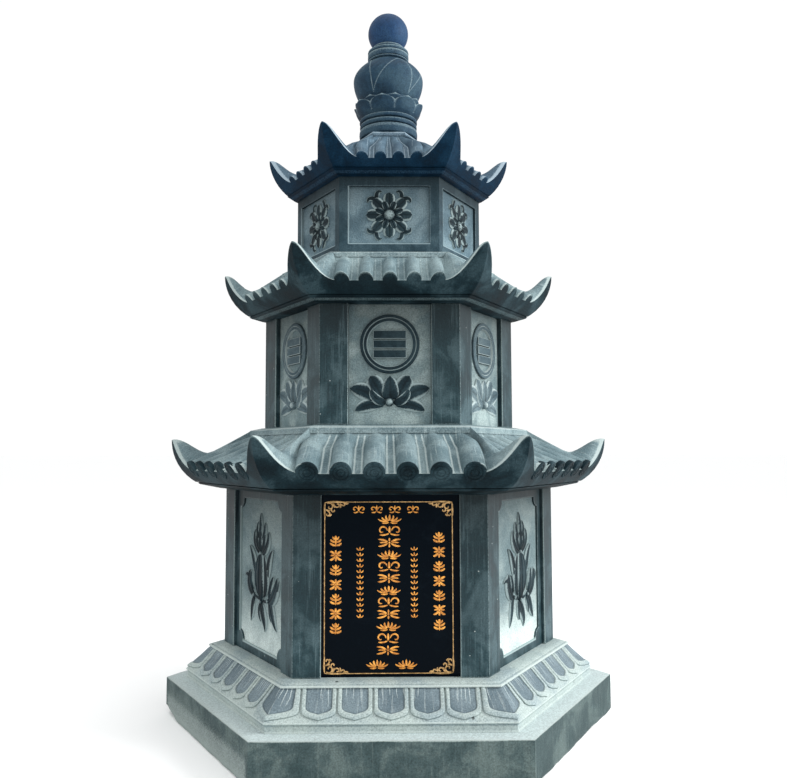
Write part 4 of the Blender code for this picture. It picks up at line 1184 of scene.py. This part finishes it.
def granite(name, look):
    """Granite: blotches of 200 mm, grain of 7 mm, streaks 14 mm wide and picks 6 mm apart.

    The grain is drawn twice as coarse as the real 3 mm, which would be finer than a pixel.
    Flecks are 3 mm and pits 8 mm in radius.
    """
    material, tree, shader = new_material(name, look["base"])
    dark, light, edge = (rgba(look[key]) for key in ("dark", "light", "edge"))
    place = add(tree, "ShaderNodeTexCoord").outputs["Object"]
    tone = add(tree, "ShaderNodeAttribute", {"attribute_name": "tone"}).outputs["Fac"]
    blotch = noise(tree, place, 5.0, 7.0, 0.62, 0.4)
    grain = noise(tree, place, 145.0, 3.0, 0.7)
    amount = look["mottle"]
    spread = remap(tree, blotch, 0.36, 0.64, 0.5 - amount, 0.5 + amount, eased=True)
    colour = blend_colour(tree, remap(tree, spread, 0.5, 0.0), rgba(look["base"]), dark)
    colour = blend_colour(tree, remap(tree, spread, 0.5, 1.0, 0.0, 0.75), colour, light)
    if look.get("streaks"):
        tall = add(tree, "ShaderNodeMapping", None, Vector=place, Scale=(1.0, 1.0, 0.045))
        run = noise(tree, tall.outputs[0], 70.0, 4.0, 0.65)
        pale = remap(tree, run, 0.55, 0.78, 0.0, look["streaks"])
        deep = remap(tree, run, 0.45, 0.24, 0.0, look["streaks"])
        colour = blend_colour(tree, pale, colour, light)
        colour = blend_colour(tree, deep, colour, dark)
    if look.get("lines"):
        flat = add(tree, "ShaderNodeUVMap", {"uv_map": "stone_uv"}).outputs[0]
        thin = add(tree, "ShaderNodeMapping", None, Vector=flat, Scale=(130.0, 5.0, 1.0))
        scratch = noise(tree, thin.outputs[0], 1.0, 3.0, 0.6)
        bright = remap(tree, scratch, 0.58, 0.72, 0.0, look["lines"])
        deep = remap(tree, scratch, 0.44, 0.30, 0.0, 0.6 * look["lines"])
        colour = blend_colour(tree, bright, colour, edge)
        colour = blend_colour(tree, deep, colour, dark)
    if look.get("cuts"):
        colour = blend_colour(tree, chisel_cuts(tree, look["cuts"]), colour, edge)
    if look.get("dust"):
        low = remap(tree, part_of(tree, place, 2), 0.72, 0.42, 0.0, look["dust"], eased=True)
        patchy = remap(tree, blotch, 0.30, 0.60, 0.5)
        colour = blend_colour(tree, calc(tree, "MULTIPLY", low, patchy), colour, edge)
    if look.get("flecks"):
        fleck = spots(tree, place, 16.0, 0.055, 0.035, look["flecks"])
        colour = blend_colour(tree, fleck, colour, rgba("#c8d2d0"))
    if look.get("pits"):
        pit = spots(tree, place, 7.0, 0.060, 0.040, look["pits"])
        colour = blend_colour(tree, pit, colour, rgba("#1d2628"))
    if look.get("top"):
        normal = add(tree, "ShaderNodeNewGeometry").outputs["Normal"]
        # Flat tops painted paler, as light from above
        painted_top_light = remap(tree, part_of(tree, normal, 2), 0.75, 0.95, 0.0, 0.85)
        colour = blend_colour(tree, painted_top_light, colour, rgba(look["top"]))
    colour = scale_colour(tree, colour, remap(tree, grain, 0.32, 0.68, 0.68, 1.30))
    # Where the tone is above 0 the edge colour breaks through the grain: partly wear, partly painted
    # highlight
    worn = calc(tree, "MULTIPLY_ADD", grain, 0.9, tone, clamp=True)
    worn = remap(tree, worn, 0.55, 1.15, 0.0, 0.85)
    worn = calc(tree, "MULTIPLY", worn, remap(tree, tone, 0.02, 0.3), clamp=True)
    colour = blend_colour(tree, worn, colour, edge)
    # Painted shade where the tone is below 0: in recesses, grooves, creases and under ledges and
    # eaves
    colour = scale_colour(tree, colour, remap(tree, tone, -0.05, -1.0, 1.0, 0.42))
    # Painted shade and damp under each eave, pale dust at each foot
    if look.get("weather"):
        colour = weathered(tree, colour, place, blotch)
    tree.links.new(colour, shader.inputs["Base Color"])
    rough = remap(tree, blotch, 0.3, 0.7, look["rough"] - 0.07, look["rough"] + 0.09)
    tree.links.new(rough, shader.inputs["Roughness"])
    picks = noise(tree, place, 165.0, 2.0, 0.6)
    bump = add(tree, "ShaderNodeBump", None, Strength=look["picks"], Distance=0.0035, Height=picks)
    tree.links.new(bump.outputs[0], shader.inputs["Normal"])
    shader.inputs["Specular IOR Level"].default_value = look.get("gloss", 0.18)
    return material


def chisel_cuts(tree, amount):
    """Bright cuts down a field from its top, one place every 16 mm, up to 95 mm long.

    Each place draws its own length, and about a quarter of them have none.
    """
    flat = add(tree, "ShaderNodeUVMap", {"uv_map": "stone_uv"}).outputs[0]
    across, down, _ = add(tree, "ShaderNodeSeparateXYZ", None, Vector=flat).outputs
    course = calc(tree, "MULTIPLY_ADD", across, 62.0, noise(tree, flat, 14.0, 1.0))
    line = calc(tree, "COMPARE", calc(tree, "FRACT", course), 0.5, 0.085)
    number = calc(tree, "FLOOR", course)
    chance = add(tree, "ShaderNodeTexWhiteNoise", {"noise_dimensions": "1D"}, W=number)
    reach = remap(tree, chance.outputs["Value"], 0.25, 1.0, 0.0, 0.095)
    near = remap(tree, down, reach, 0.0, 0.25, 1.0)
    cut = calc(tree, "MULTIPLY", line, calc(tree, "LESS_THAN", down, reach))
    return calc(tree, "MULTIPLY", calc(tree, "MULTIPLY", cut, near), amount)


def weathered(tree, colour, place, blotch):
    """Darken a wall under its eave with painted shade and damp, and pale it at its foot with dust,
    unevenly, by the height of the point.

    A ratio r of shown brightness is r^2.2 in linear light. The ramp holds half of it, since it
    holds no value above 1.
    """
    shift = calc(tree, "MULTIPLY_ADD", blotch, 0.25, -0.125)
    high = calc(tree, "ADD", part_of(tree, place, 2), shift)
    ramp = add(tree, "ShaderNodeValToRGB", None, Fac=calc(tree, "DIVIDE", high, RAMP_REACH))
    for storey in (LOWER, MIDDLE, UPPER):
        for part, ratio in SHADE:
            height = storey["foot"] + part * (storey["top"] - storey["foot"])
            stop = ramp.color_ramp.elements.new(height / RAMP_REACH)
            stop.color = (*[0.5 * ratio ** 2.2] * 3, 1.0)
    return scale_colour(tree, colour, calc(tree, "MULTIPLY", ramp.outputs[0], 2.0))


def blend_colour(tree, factor, first, second):
    """Mix two colours by a factor output."""
    node = add(tree, "ShaderNodeMix", {"data_type": "RGBA"}, _0=factor)
    for socket, value in ((node.inputs[6], first), (node.inputs[7], second)):
        if isinstance(value, bpy.types.NodeSocket):
            tree.links.new(value, socket)
        else:
            socket.default_value = value
    return node.outputs[2]


def polished_black(name):
    """Black granite polished to a mirror: near black, a fine blue grain and dusty smears."""
    material, tree, shader = new_material(name, "#070b0f")
    place = add(tree, "ShaderNodeTexCoord").outputs["Object"]
    dust = noise(tree, place, 9.0, 8.0, 0.7, 1.2)
    smear = remap(tree, dust, 0.55, 0.80, 0.0, 0.28)
    speck = remap(tree, noise(tree, place, 260.0, 2.0), 0.6, 0.8, 0.0, 0.30)
    colour = blend_colour(tree, smear, rgba("#030910"), rgba("#18232b"))
    colour = blend_colour(tree, speck, colour, rgba("#131e28"))
    tree.links.new(colour, shader.inputs["Base Color"])
    tree.links.new(remap(tree, dust, 0.4, 0.8, 0.10, 0.30), shader.inputs["Roughness"])
    shader.inputs["Specular IOR Level"].default_value = 0.03
    return material


def gilded(name, thin_coat, full_coat):
    """Gold paint in cut lines: warm yellow, browner where the coat is thin."""
    material, tree, shader = new_material(name, full_coat)
    place = add(tree, "ShaderNodeTexCoord").outputs["Object"]
    full = remap(tree, noise(tree, place, 60.0, 4.0), 0.42, 0.62)
    colour = blend_colour(tree, full, rgba(thin_coat), rgba(full_coat))
    tree.links.new(colour, shader.inputs["Base Color"])
    shader.inputs["Roughness"].default_value = 0.42
    shader.inputs["Metallic"].default_value = 0.0
    return material


# Settings a user would change

class PagodaSizes(PropertyGroup):
    """Depths and heights of the carving."""
    tile_end_relief: FloatProperty(name="Tile end relief", default=0.0028, unit="LENGTH",
                                   description="How far the rings of a tile end stand out")
    petal_border: FloatProperty(name="Petal border", default=0.010, unit="LENGTH",
                                description="Height of a petal's border over the course")
    petal_field: FloatProperty(name="Petal field", default=0.0045, unit="LENGTH",
                               description="Height of a petal's sunk field over the course")
    field_depth: FloatProperty(name="Field depth", default=0.010, unit="LENGTH",
                               description="How deep the field of a lower slab is sunk")
    frame_border: FloatProperty(name="Frame border", default=0.044, unit="LENGTH",
                                description="Width of the frame round a lower slab's field")
    corner_notch: FloatProperty(name="Corner notch", default=0.050, unit="LENGTH",
                                description="Size of the quarter round at the field's corners")
    relief: FloatProperty(name="Relief", default=1.0, min=0.2, max=1.6,
                          description="Height of the carved leaves, as a share of the usual")
    ring_radius: FloatProperty(name="Ring radius", default=0.145, unit="LENGTH",
                               description="Radius of the ring on a middle slab")


class PagodaStudio(PropertyGroup):
    """Light and background."""
    floor_colour: FloatVectorProperty(name="Floor", subtype="COLOR", size=3,
                                      default=linear("#fbfcfc"), description="Floor colour")
    sky_colour: FloatVectorProperty(name="Surround", subtype="COLOR", size=3,
                                    default=linear("#ffffff"), description="Colour all round")
    sky_strength: FloatProperty(name="Surround strength", default=1.03, min=0.0,
                                description="Brightness of the light from all round")
    key_power: FloatProperty(name="Key light", default=950.0, min=0.0, unit="POWER",
                             description="Power of the large light on the right")


def sizes(context):
    """Shortcut to the size settings."""
    return context.scene.pagoda_sizes


class PAGODA_OT_plinth(Operator):
    """Worn six-sided plinth"""
    bl_idname = "pagoda.plinth"
    bl_label = "Plinth"

    def execute(self, context):
        carving = Carving()
        rings, tones = plinth_rings()
        carving.shell(rings, 0, tones)
        carving.make("worn_plinth", ["sawn_granite"], ["plinth"])
        return {"FINISHED"}


class PAGODA_OT_lotus_course(Operator):
    """Sloped course with hanging petals"""
    bl_idname = "pagoda.lotus_course"
    bl_label = "Lotus course"

    def execute(self, context):
        carving = Carving()
        steps = 24
        turn = np.arange(SIDES * steps) / steps
        # Tones: arrises painted pale as wear and highlight, painted shade under the top ledge and in
        # the grooves
        profile = [(0.80, 0.3750, 0.0), (0.925, 0.3750, 0.0), (0.958, 0.3662, 0.3),
                   (0.9605, 0.3640, -0.4), (0.972, 0.3620, 0.5), (0.976, 0.3585, 0.7),
                   (0.9755, 0.3530, 0.3), (0.962, 0.3510, -0.9)]
        profile += [(radius, height, 0.25) for radius, height in SLOPE]
        profile += [(1.0960, 0.2320, 0.6), (1.0945, 0.2275, 0.3), (1.0865, 0.2235, -0.3),
                    (1.0860, 0.2150, 0.45), (1.0865, 0.1990, 0.35), (1.0900, 0.1960, 0.5),
                    (1.0925, 0.1905, 0.4), (0.80, 0.1905, 0.0)]
        rings = np.array([stack3(*hexagon(turn, radius), height) for radius, height, _ in profile])
        tone = np.array([row[2] for row in profile])[:, None]
        carving.shell(rings, 0, tone)
        settings = sizes(context)
        for step in range(SIDES * PETALS):
            lotus_petal(carving, step, settings.petal_border, settings.petal_field)
        carving.make("petal_course", ["chiselled_granite", "lined_granite"],
                     ["lotus_base"])
        return {"FINISHED"}


class PAGODA_OT_roofs(Operator):
    """Three ribbed roof stones with turned tile ends"""
    bl_idname = "pagoda.roofs"
    bl_label = "Roof stones"

    def execute(self, context):
        for node, roof in ROOFS.items():
            carving = Carving()
            rings, tones, finishes, quad_uv = ring_of_sides(roof_rows(roof))
            carving.shell(rings, finishes, tones, quad_uv)
            if node == "lower_roof":
                tile_ends(carving, roof, sizes(context).tile_end_relief)
            top = node == "upper_roof"
            eave = "blue_eave_granite" if top else "eave_granite"
            tile = "blue_tile_granite" if top else "tile_granite"
            carving.make(f"ribbed_{node}", [eave, tile], [node], 40.0)
        return {"FINISHED"}


class PAGODA_OT_posts(Operator):
    """Corner posts with worn arrises painted pale as wear and highlight, and the plain backing behind
    the plaque
    """
    bl_idname = "pagoda.posts"
    bl_label = "Posts"

    def execute(self, context):
        for prefix, storey in (("lower", LOWER), ("middle", MIDDLE)):
            for index, corner in enumerate(CORNER_NAMES):
                rings, tone = post_rings(storey, index)
                carving = Carving()
                carving.shell(rings, 0, tone)
                carving.make(f"worn_{prefix}_post_{corner}", ["honed_granite"],
                             [f"{prefix}_post_{corner}"], 30.0)
        backing = NODES["plaque_backing"]
        backing.data.materials.clear()
        backing.data.materials.append(stone("picked_granite"))
        return {"FINISHED"}


class PAGODA_OT_lower_slabs(Operator):
    """Framed slabs of the lower storey with their lotus sprays"""
    bl_idname = "pagoda.lower_slabs"
    bl_label = "Lower slabs"

    def execute(self, context):
        settings = sizes(context)
        half_wide, foot, top, distance = bay(LOWER)
        middle = 0.5 * (foot + top)
        inner, outer = notched_outlines(half_wide, 0.5 * (top - foot), settings.frame_border,
                                        settings.corner_notch)
        for index, name in enumerate(FACE_NAMES):
            if index == FRONT:
                continue
            carving = Carving()
            back = slab(half_wide, foot, top, SLAB_THICKNESS - settings.field_depth,
                        -settings.field_depth)
            carving.shell(on_face(index, back, distance), 0)
            rings, tone = frame_ring(inner, outer, middle, 0.0, -settings.field_depth)
            carving.shell(on_face(index, rings, distance), 1, tone, loop=True)
            add_relief(carving, spray(settings.relief), index, distance - settings.field_depth,
                       0.0, SPRAY_HEIGHT, 2)
            carving.make(f"spray_slab_{name}",
                         ["dusty_picked_granite", "honed_granite", "relief_granite"],
                         [f"lower_panel_{name}"])
        return {"FINISHED"}


class PAGODA_OT_middle_slabs(Operator):
    """Slabs of the middle storey: a ring with three bars over an open lotus"""
    bl_idname = "pagoda.middle_slabs"
    bl_label = "Middle slabs"

    def execute(self, context):
        settings = sizes(context)
        half_wide, foot, top, distance = bay(MIDDLE)
        outer = settings.ring_radius
        profile = [(outer, -SINK), (outer, 0.010), (outer - 0.003, 0.013), (outer - 0.0134, 0.013),
                   (outer - 0.0142, 0.0095), (outer - 0.0176, 0.0095), (outer - 0.0184, 0.012),
                   (outer - 0.0310, 0.012), (outer - 0.0330, 0.0095), (outer - 0.0360, 0.001),
                   (outer - 0.0365, -SINK)]
        # Painted shade at the ring's outer foot, painted highlights along the groove and the inner
        # edge
        tone = np.array([-0.6, -0.2, 0.0, 0.0, 0.9, 0.9, 0.0, 0.0, 0.8, 0.9, 0.3])[None, :]
        for index, name in enumerate(FACE_NAMES):
            carving = Carving()
            back = slab(half_wide, foot, top, SLAB_THICKNESS)
            carving.shell(on_face(index, back, distance), 0)
            ring = hoop(0.0, RING_HEIGHT, profile)
            carving.shell(on_face(index, ring, distance), 1, tone, loop=True)
            bars = [bar(0.0, height, BAR_HALF_LONG, BAR_HALF_HIGH, BAR_RELIEF * settings.relief)
                    for height in BAR_HEIGHTS]
            add_relief(carving, bars, index, distance, 0.0, 0.0, 1)
            add_relief(carving, water_lotus(settings.relief), index, distance, 0.0, LOTUS_HEIGHT,
                       1)
            dark = "relief_granite" if index == FRONT else "bruised_relief_granite"
            carving.make(f"ring_slab_{name}", ["picked_granite", dark],
                         [f"middle_panel_{name}"])
        return {"FINISHED"}


class PAGODA_OT_upper_walls(Operator):
    """Framed walls of the upper storey, each with a plain rosette"""
    bl_idname = "pagoda.upper_walls"
    bl_label = "Upper walls"

    def execute(self, context):
        settings = sizes(context)
        half_wide = 0.5 * UPPER["radius"] - 0.5 * SEAT_GAP / COS_HALF
        foot, top = UPPER["foot"] + SEAT_GAP, UPPER["top"] - SEAT_GAP
        distance = UPPER["radius"] * COS_HALF
        middle, depth = 0.5 * (foot + top), WALL_DEPTH
        inner, outer = notched_outlines(half_wide, 0.5 * (top - foot), WALL_BORDER, 0.002, 3)
        mitre, lag = WALL_THICKNESS * TAN_HALF, depth * TAN_HALF
        for index, name in enumerate(FACE_NAMES):
            carving = Carving()
            back = slab(half_wide - lag, foot, top, WALL_THICKNESS - depth, -depth, mitre - lag)
            carving.shell(on_face(index, back, distance), 0)
            rings, tone = frame_ring(inner, outer, middle, 0.0, -depth)
            rings[0, :, 0] *= 1.0 - (lag + SINK * TAN_HALF) / half_wide
            rings[0, :, 0] = np.clip(rings[0, :, 0], -half_wide + lag, half_wide - lag)
            carving.shell(on_face(index, rings, distance), 1, tone, loop=True)
            add_relief(carving, rosette(settings.relief), index, distance - depth, 0.0, middle, 2,
                       1.0, ROSETTE_SIZE)
            carving.make(f"rosette_wall_{name}",
                         ["blue_picked_granite", "blue_honed_granite", "relief_granite"],
                         [f"upper_wall_{name}"])
        return {"FINISHED"}


class PAGODA_OT_plaque(Operator):
    """Polished plaque with gilded ornament"""
    bl_idname = "pagoda.plaque"
    bl_label = "Plaque"

    def execute(self, context):
        half_wide, foot, top, distance = bay(LOWER)
        carving = Carving()
        back = slab(half_wide, foot, top, PLAQUE_THICKNESS)
        carving.shell(on_face(FRONT, back, distance), 0)
        gild_plaque(carving, distance)
        carving.make("gilded_plaque", ["polished_black_granite", "gilded_work",
                                                         "gilded_border"],
                     ["plaque"])
        return {"FINISHED"}


class PAGODA_OT_finial(Operator):
    """Turned finial: rings, lotus cup, vase, collar and ball"""
    bl_idname = "pagoda.finial"
    bl_label = "Finial"

    def execute(self, context):
        self.rings()
        self.lotus_cup()
        self.vase()
        self.collar()
        self.ball()
        return {"FINISHED"}

    def rings(self):
        """Round mouldings, each half an ellipse in section, with fine lines between."""
        foot, top = 3.1505, 3.2617
        bands = ((3.240, 3.2617, 0.163), (3.208, 3.233, 0.161), (3.1505, 3.202, 0.164))
        profile, tone = [(0.13, top)], [0.0]
        for low, high, radius in bands:
            angle = np.linspace(0.5 * np.pi, -0.5 * np.pi, 9)
            middle, half = 0.5 * (low + high), 0.5 * (high - low)
            for step, turn in enumerate(angle):
                round_out = 0.010 * (np.cos(turn) ** 0.5)
                profile.append((radius - 0.010 + round_out, middle + half * np.sin(turn)))
                # Upper part of each round painted pale as light from above, its lower part and the
                # fine lines as painted shade
                tone.append(0.30 if 0 < step < 4 else (0.0 if step < 7 else -0.4))
            if low > foot + 0.01:
                profile.append((radius - 0.014, low - 0.003))
                tone.append(-0.9)
        profile.append((0.13, foot))
        tone.append(0.0)
        carving = Carving()
        turned_form(carving, profile, 96, 0, None, tone)
        carving.make("finial_round_rings", ["turned_granite"], ["finial_rings"])

    def lotus_cup(self):
        """Eight outer petals with curled lips over a plain cup."""
        low, high = 3.2622, 3.3637
        carving = Carving()
        cup = [(0.120, high), (0.160, high), (0.164, high - 0.02), (0.166, high - 0.05),
               (0.160, low + 0.02), (0.154, low), (0.12, low)]
        turned_form(carving, cup, 64, 0)
        for layer, count, reach, lift in ((0, 8, 0.186, 0.0), (1, 8, 0.194, -0.008)):
            for step in range(count):
                turn = (step + 0.5 * layer + 0.25) * 2.0 * math.pi / count
                self.cup_petal(carving, turn, low + 0.002, high - 0.006 + lift, reach, count)
        carving.make("finial_petal_cup", ["turned_granite"], ["finial_lotus"])

    def cup_petal(self, carving, turn, low, high, reach, count):
        """A petal bent round the cup: grid of v up and s across, lip curled out at the top."""
        v = np.linspace(0.0, 1.0, 15)[:, None]
        s = np.linspace(-1.0, 1.0, 15)[None, :]
        half = math.pi / count * 1.16
        width = half * np.sqrt(np.clip(1.0 - np.clip((v - 0.35) / 0.65, 0, 1) ** 2.4, 0.0, 1.0))
        width = np.maximum(width, 0.012) * (0.86 + 0.14 * smooth(v / 0.35))
        base = 0.156 + (reach - 0.156 - 0.012) * np.sin(0.5 * np.pi * np.clip(v * 1.25, 0, 1))
        curled = 0.014 * smooth((v - 0.60) / 0.40) * (1.0 - 0.4 * s * s)
        radius = base + curled + 0.006 * (1.0 - s * s) * np.sin(np.pi * v) ** 0.7
        height = low + (high - low) * (v - 0.10 * s * s * v)
        height = height + np.zeros_like(s)
        angle = turn + width * s
        outer = stack3(radius * np.cos(angle), radius * np.sin(angle), height)
        inner_radius = np.maximum(radius - 0.012, 0.140)
        inner = stack3(inner_radius * np.cos(angle), inner_radius * np.sin(angle), height - 0.001)
        rings = np.concatenate([outer, inner[:, ::-1]], 1)
        # Lip and edges painted pale as highlight and wear, the foot as painted shade
        edge = 0.9 * np.maximum(smooth((v - 0.86) / 0.12), np.abs(s) ** 8) * (v > 0.2)
        tone = np.concatenate([edge - 0.25 * (v < 0.15), np.zeros_like(edge)], 1)
        carving.shell(rings, 0, tone)

    def vase(self):
        """Round vase wrapped by five leaning petals, drawn by shallow lines at their edges, painted
        pale as highlight and wear.
        """
        low, high = 3.3642, 3.5937
        share = np.linspace(1.0, 0.0, 61)
        up = np.sin(0.5 * np.pi * np.clip((1.0 - share) / 0.46, 0, 1)) ** 0.86
        down = np.sin(0.5 * np.pi * np.clip(share / 0.54, 0, 1)) ** 0.92
        neck, belly, seat = 0.112, 0.197, 0.157
        radius = np.where(share > 0.54, neck + (belly - neck) * up, seat + (belly - seat) * down)
        height = low + share * (high - low)
        profile = np.stack([radius, height], -1)
        profile = np.concatenate([[(0.09, high)], profile, [(0.12, low)]])

        def petal_edges(ring_height, turn):
            place = (ring_height - low) / (high - low)
            lean = turn * 2.5 + 0.6 - 1.0 * place
            line = 0.04 + 0.88 * np.abs(np.cos(lean)) ** 0.8
            steep = np.gradient(line, axis=1) / (2.0 * np.pi / turn.size) * 1.2
            edge = np.exp(-((place - line) / (0.014 * np.sqrt(1.0 + steep ** 2))) ** 2)
            edge = edge * (place > 0.02) * (place < 0.96)
            # The petals' edges painted pale as highlight and wear
            return 0.0016 * edge, 0.55 * edge

        carving = Carving()
        turned_form(carving, profile, 240, 0, petal_edges)
        carving.make("finial_round_vase", ["turned_granite"], ["finial_vase"])

    def collar(self):
        """Two bands with fine lines and a narrow ring under the ball."""
        low, high = 3.5942, 3.6947
        profile = [(0.07, high), (0.080, high), (0.086, high - 0.003), (0.088, high - 0.009),
                   (0.087, high - 0.016), (0.083, high - 0.021), (0.092, high - 0.0235),
                   (0.106, high - 0.026), (0.1145, high - 0.030), (0.116, high - 0.036),
                   (0.1155, high - 0.044), (0.1125, high - 0.0465), (0.1120, high - 0.048),
                   (0.1155, high - 0.050), (0.116, high - 0.060), (0.116, high - 0.076),
                   (0.1145, high - 0.080), (0.110, high - 0.0815), (0.110, high - 0.083),
                   (0.1145, high - 0.085), (0.1150, high - 0.090), (0.1120, high - 0.094),
                   (0.1060, high - 0.0955), (0.1085, low), (0.09, low)]
        # Upper roundings painted pale as light from above; the fine lines and the undersides as
        # painted shade
        tone = [0, 0.3, 0.6, 0.3, 0, -0.5, -0.3, 0.4, 0.6, 0.2, 0.1, -0.9, -0.9, 0.6, 0.2, 0.1, 0.1,
                -0.9, -0.9, 0.5, 0.1, -0.3, -0.8, 0, 0]
        carving = Carving()
        turned_form(carving, profile, 96, 0, None, tone)
        carving.make("finial_banded_collar", ["turned_granite"],
                     ["finial_collar"])

    def ball(self):
        """Sphere: radius x sine and cosine of the way down from the top."""
        radius, seat = 0.114, 0.082
        centre = 3.695 + math.sqrt(radius ** 2 - seat ** 2)
        angle = np.linspace(0.03, math.pi - math.asin(seat / radius), 33)
        profile = np.stack([radius * np.sin(angle), centre + radius * np.cos(angle)], -1)
        carving = Carving()
        turned_form(carving, profile, 80)
        carving.make("finial_top_ball", ["ball_granite_with_painted_sky"], ["finial_ball"])


class PAGODA_OT_studio(Operator):
    """Pale floor, soft light and the camera of the photograph"""
    bl_idname = "pagoda.studio"
    bl_label = "Studio"

    def execute(self, context):
        studio = context.scene.pagoda_studio
        self.floor(context, studio)
        self.light(context, studio)
        self.camera(context)
        context.scene.view_settings.view_transform = "Standard"
        return {"FINISHED"}

    def floor(self, context, studio):
        """Large plain floor."""
        mesh = bpy.data.meshes.new("studio_floor")
        reach = 400.0
        corners = [(-reach, -reach, -0.0005), (reach, -reach, -0.0005), (reach, reach, -0.0005),
                   (-reach, reach, -0.0005)]
        mesh.from_pydata(corners, [], [(0, 1, 2, 3)])
        floor = bpy.data.objects.new("studio_floor", mesh)
        context.scene.collection.objects.link(floor)
        material = bpy.data.materials.new("matt_paper_floor")
        material.use_nodes = True
        shader = material.node_tree.nodes["Principled BSDF"]
        shader.inputs["Base Color"].default_value = (*studio.floor_colour, 1.0)
        shader.inputs["Roughness"].default_value = 0.95
        shader.inputs["Specular IOR Level"].default_value = 0.1
        mesh.materials.append(material)

    def light(self, context, studio):
        """Even light all round, with large soft lights above and on the right."""
        world = bpy.data.worlds.new("studio_surround")
        world.use_nodes = True
        back = world.node_tree.nodes["Background"]
        back.inputs["Color"].default_value = (*studio.sky_colour, 1.0)
        back.inputs["Strength"].default_value = studio.sky_strength
        context.scene.world = world
        self.lamp(context, "soft_top_light", (0.5, -2.0, 9.0), (0.0, 0.0, 1.5), 8.0,
                  0.25 * studio.key_power)
        self.lamp(context, "soft_key_light", (8.2, -2.2, 5.4), (0.0, 0.0, 1.7), 5.0,
                  studio.key_power)

    def lamp(self, context, name, spot, target, size, power):
        """One square area light that looks at a point."""
        data = bpy.data.lights.new(name, "AREA")
        data.shape = "SQUARE"
        data.size = size
        data.energy = power
        lamp = bpy.data.objects.new(name, data)
        lamp.location = spot
        aim = np.array(target) - np.array(spot)
        flat = math.hypot(aim[0], aim[1])
        lamp.rotation_euler = (math.atan2(flat, -aim[2]), 0.0, math.atan2(-aim[0], aim[1]))
        context.scene.collection.objects.link(lamp)

    def camera(self, context):
        """The photograph's view, worked out from the tower's corners in it."""
        data = bpy.data.cameras.new("photo_view")
        data.sensor_width = 36.0
        data.lens = 38.36
        camera = bpy.data.objects.new("photo_view", data)
        yaw, pitch, roll = (math.radians(angle) for angle in (-0.818, 4.326, -0.135))
        ahead = np.array([-math.sin(yaw) * math.cos(pitch), math.cos(yaw) * math.cos(pitch),
                          math.sin(pitch)])
        level = np.array([math.cos(yaw), math.sin(yaw), 0.0])
        raised = np.cross(level, ahead)
        right = level * math.cos(roll) + raised * math.sin(roll)
        up = raised * math.cos(roll) - level * math.sin(roll)
        place = np.identity(4)
        place[:3, 0], place[:3, 1], place[:3, 2] = right, up, -ahead
        place[:3, 3] = (-0.0404, -4.6388, 1.390)
        camera.matrix_world = Matrix(place.tolist())
        context.scene.collection.objects.link(camera)
        context.scene.camera = camera


class PAGODA_PT_sidebar(Panel):
    """Buttons and settings of the pagoda"""
    bl_idname = "PAGODA_PT_sidebar"
    bl_label = "Stone pagoda"
    bl_space_type = "VIEW_3D"
    bl_region_type = "UI"
    bl_category = "Pagoda"

    def draw(self, context):
        column = self.layout.column(align=True)
        for step in STEPS:
            column.operator(step.bl_idname)
        for group in (context.scene.pagoda_sizes, context.scene.pagoda_studio):
            box = self.layout.box()
            for name in group.__annotations__:
                box.prop(group, name)


STEPS = (PAGODA_OT_plinth, PAGODA_OT_lotus_course, PAGODA_OT_posts, PAGODA_OT_lower_slabs,
         PAGODA_OT_plaque, PAGODA_OT_middle_slabs, PAGODA_OT_upper_walls, PAGODA_OT_roofs,
         PAGODA_OT_finial, PAGODA_OT_studio)
CLASSES = (PagodaSizes, PagodaStudio, *STEPS, PAGODA_PT_sidebar)


def register():
    """Register the classes and hang the settings on the scene."""
    for kind in CLASSES:
        bpy.utils.register_class(kind)
    bpy.types.Scene.pagoda_sizes = PointerProperty(type=PagodaSizes)
    bpy.types.Scene.pagoda_studio = PointerProperty(type=PagodaStudio)


def unregister():
    """Take the settings and classes away again."""
    del bpy.types.Scene.pagoda_studio
    del bpy.types.Scene.pagoda_sizes
    for kind in reversed(CLASSES):
        bpy.utils.unregister_class(kind)


def main():
    """Dress the solids piece by piece."""
    register()
    for step in STEPS:
        family, action = step.bl_idname.split(".")
        result = getattr(getattr(bpy.ops, family), action)()
        if result != {"FINISHED"}:
            raise RuntimeError(f"{step.bl_label} was not finished")


if __name__ == "__main__":
    main()
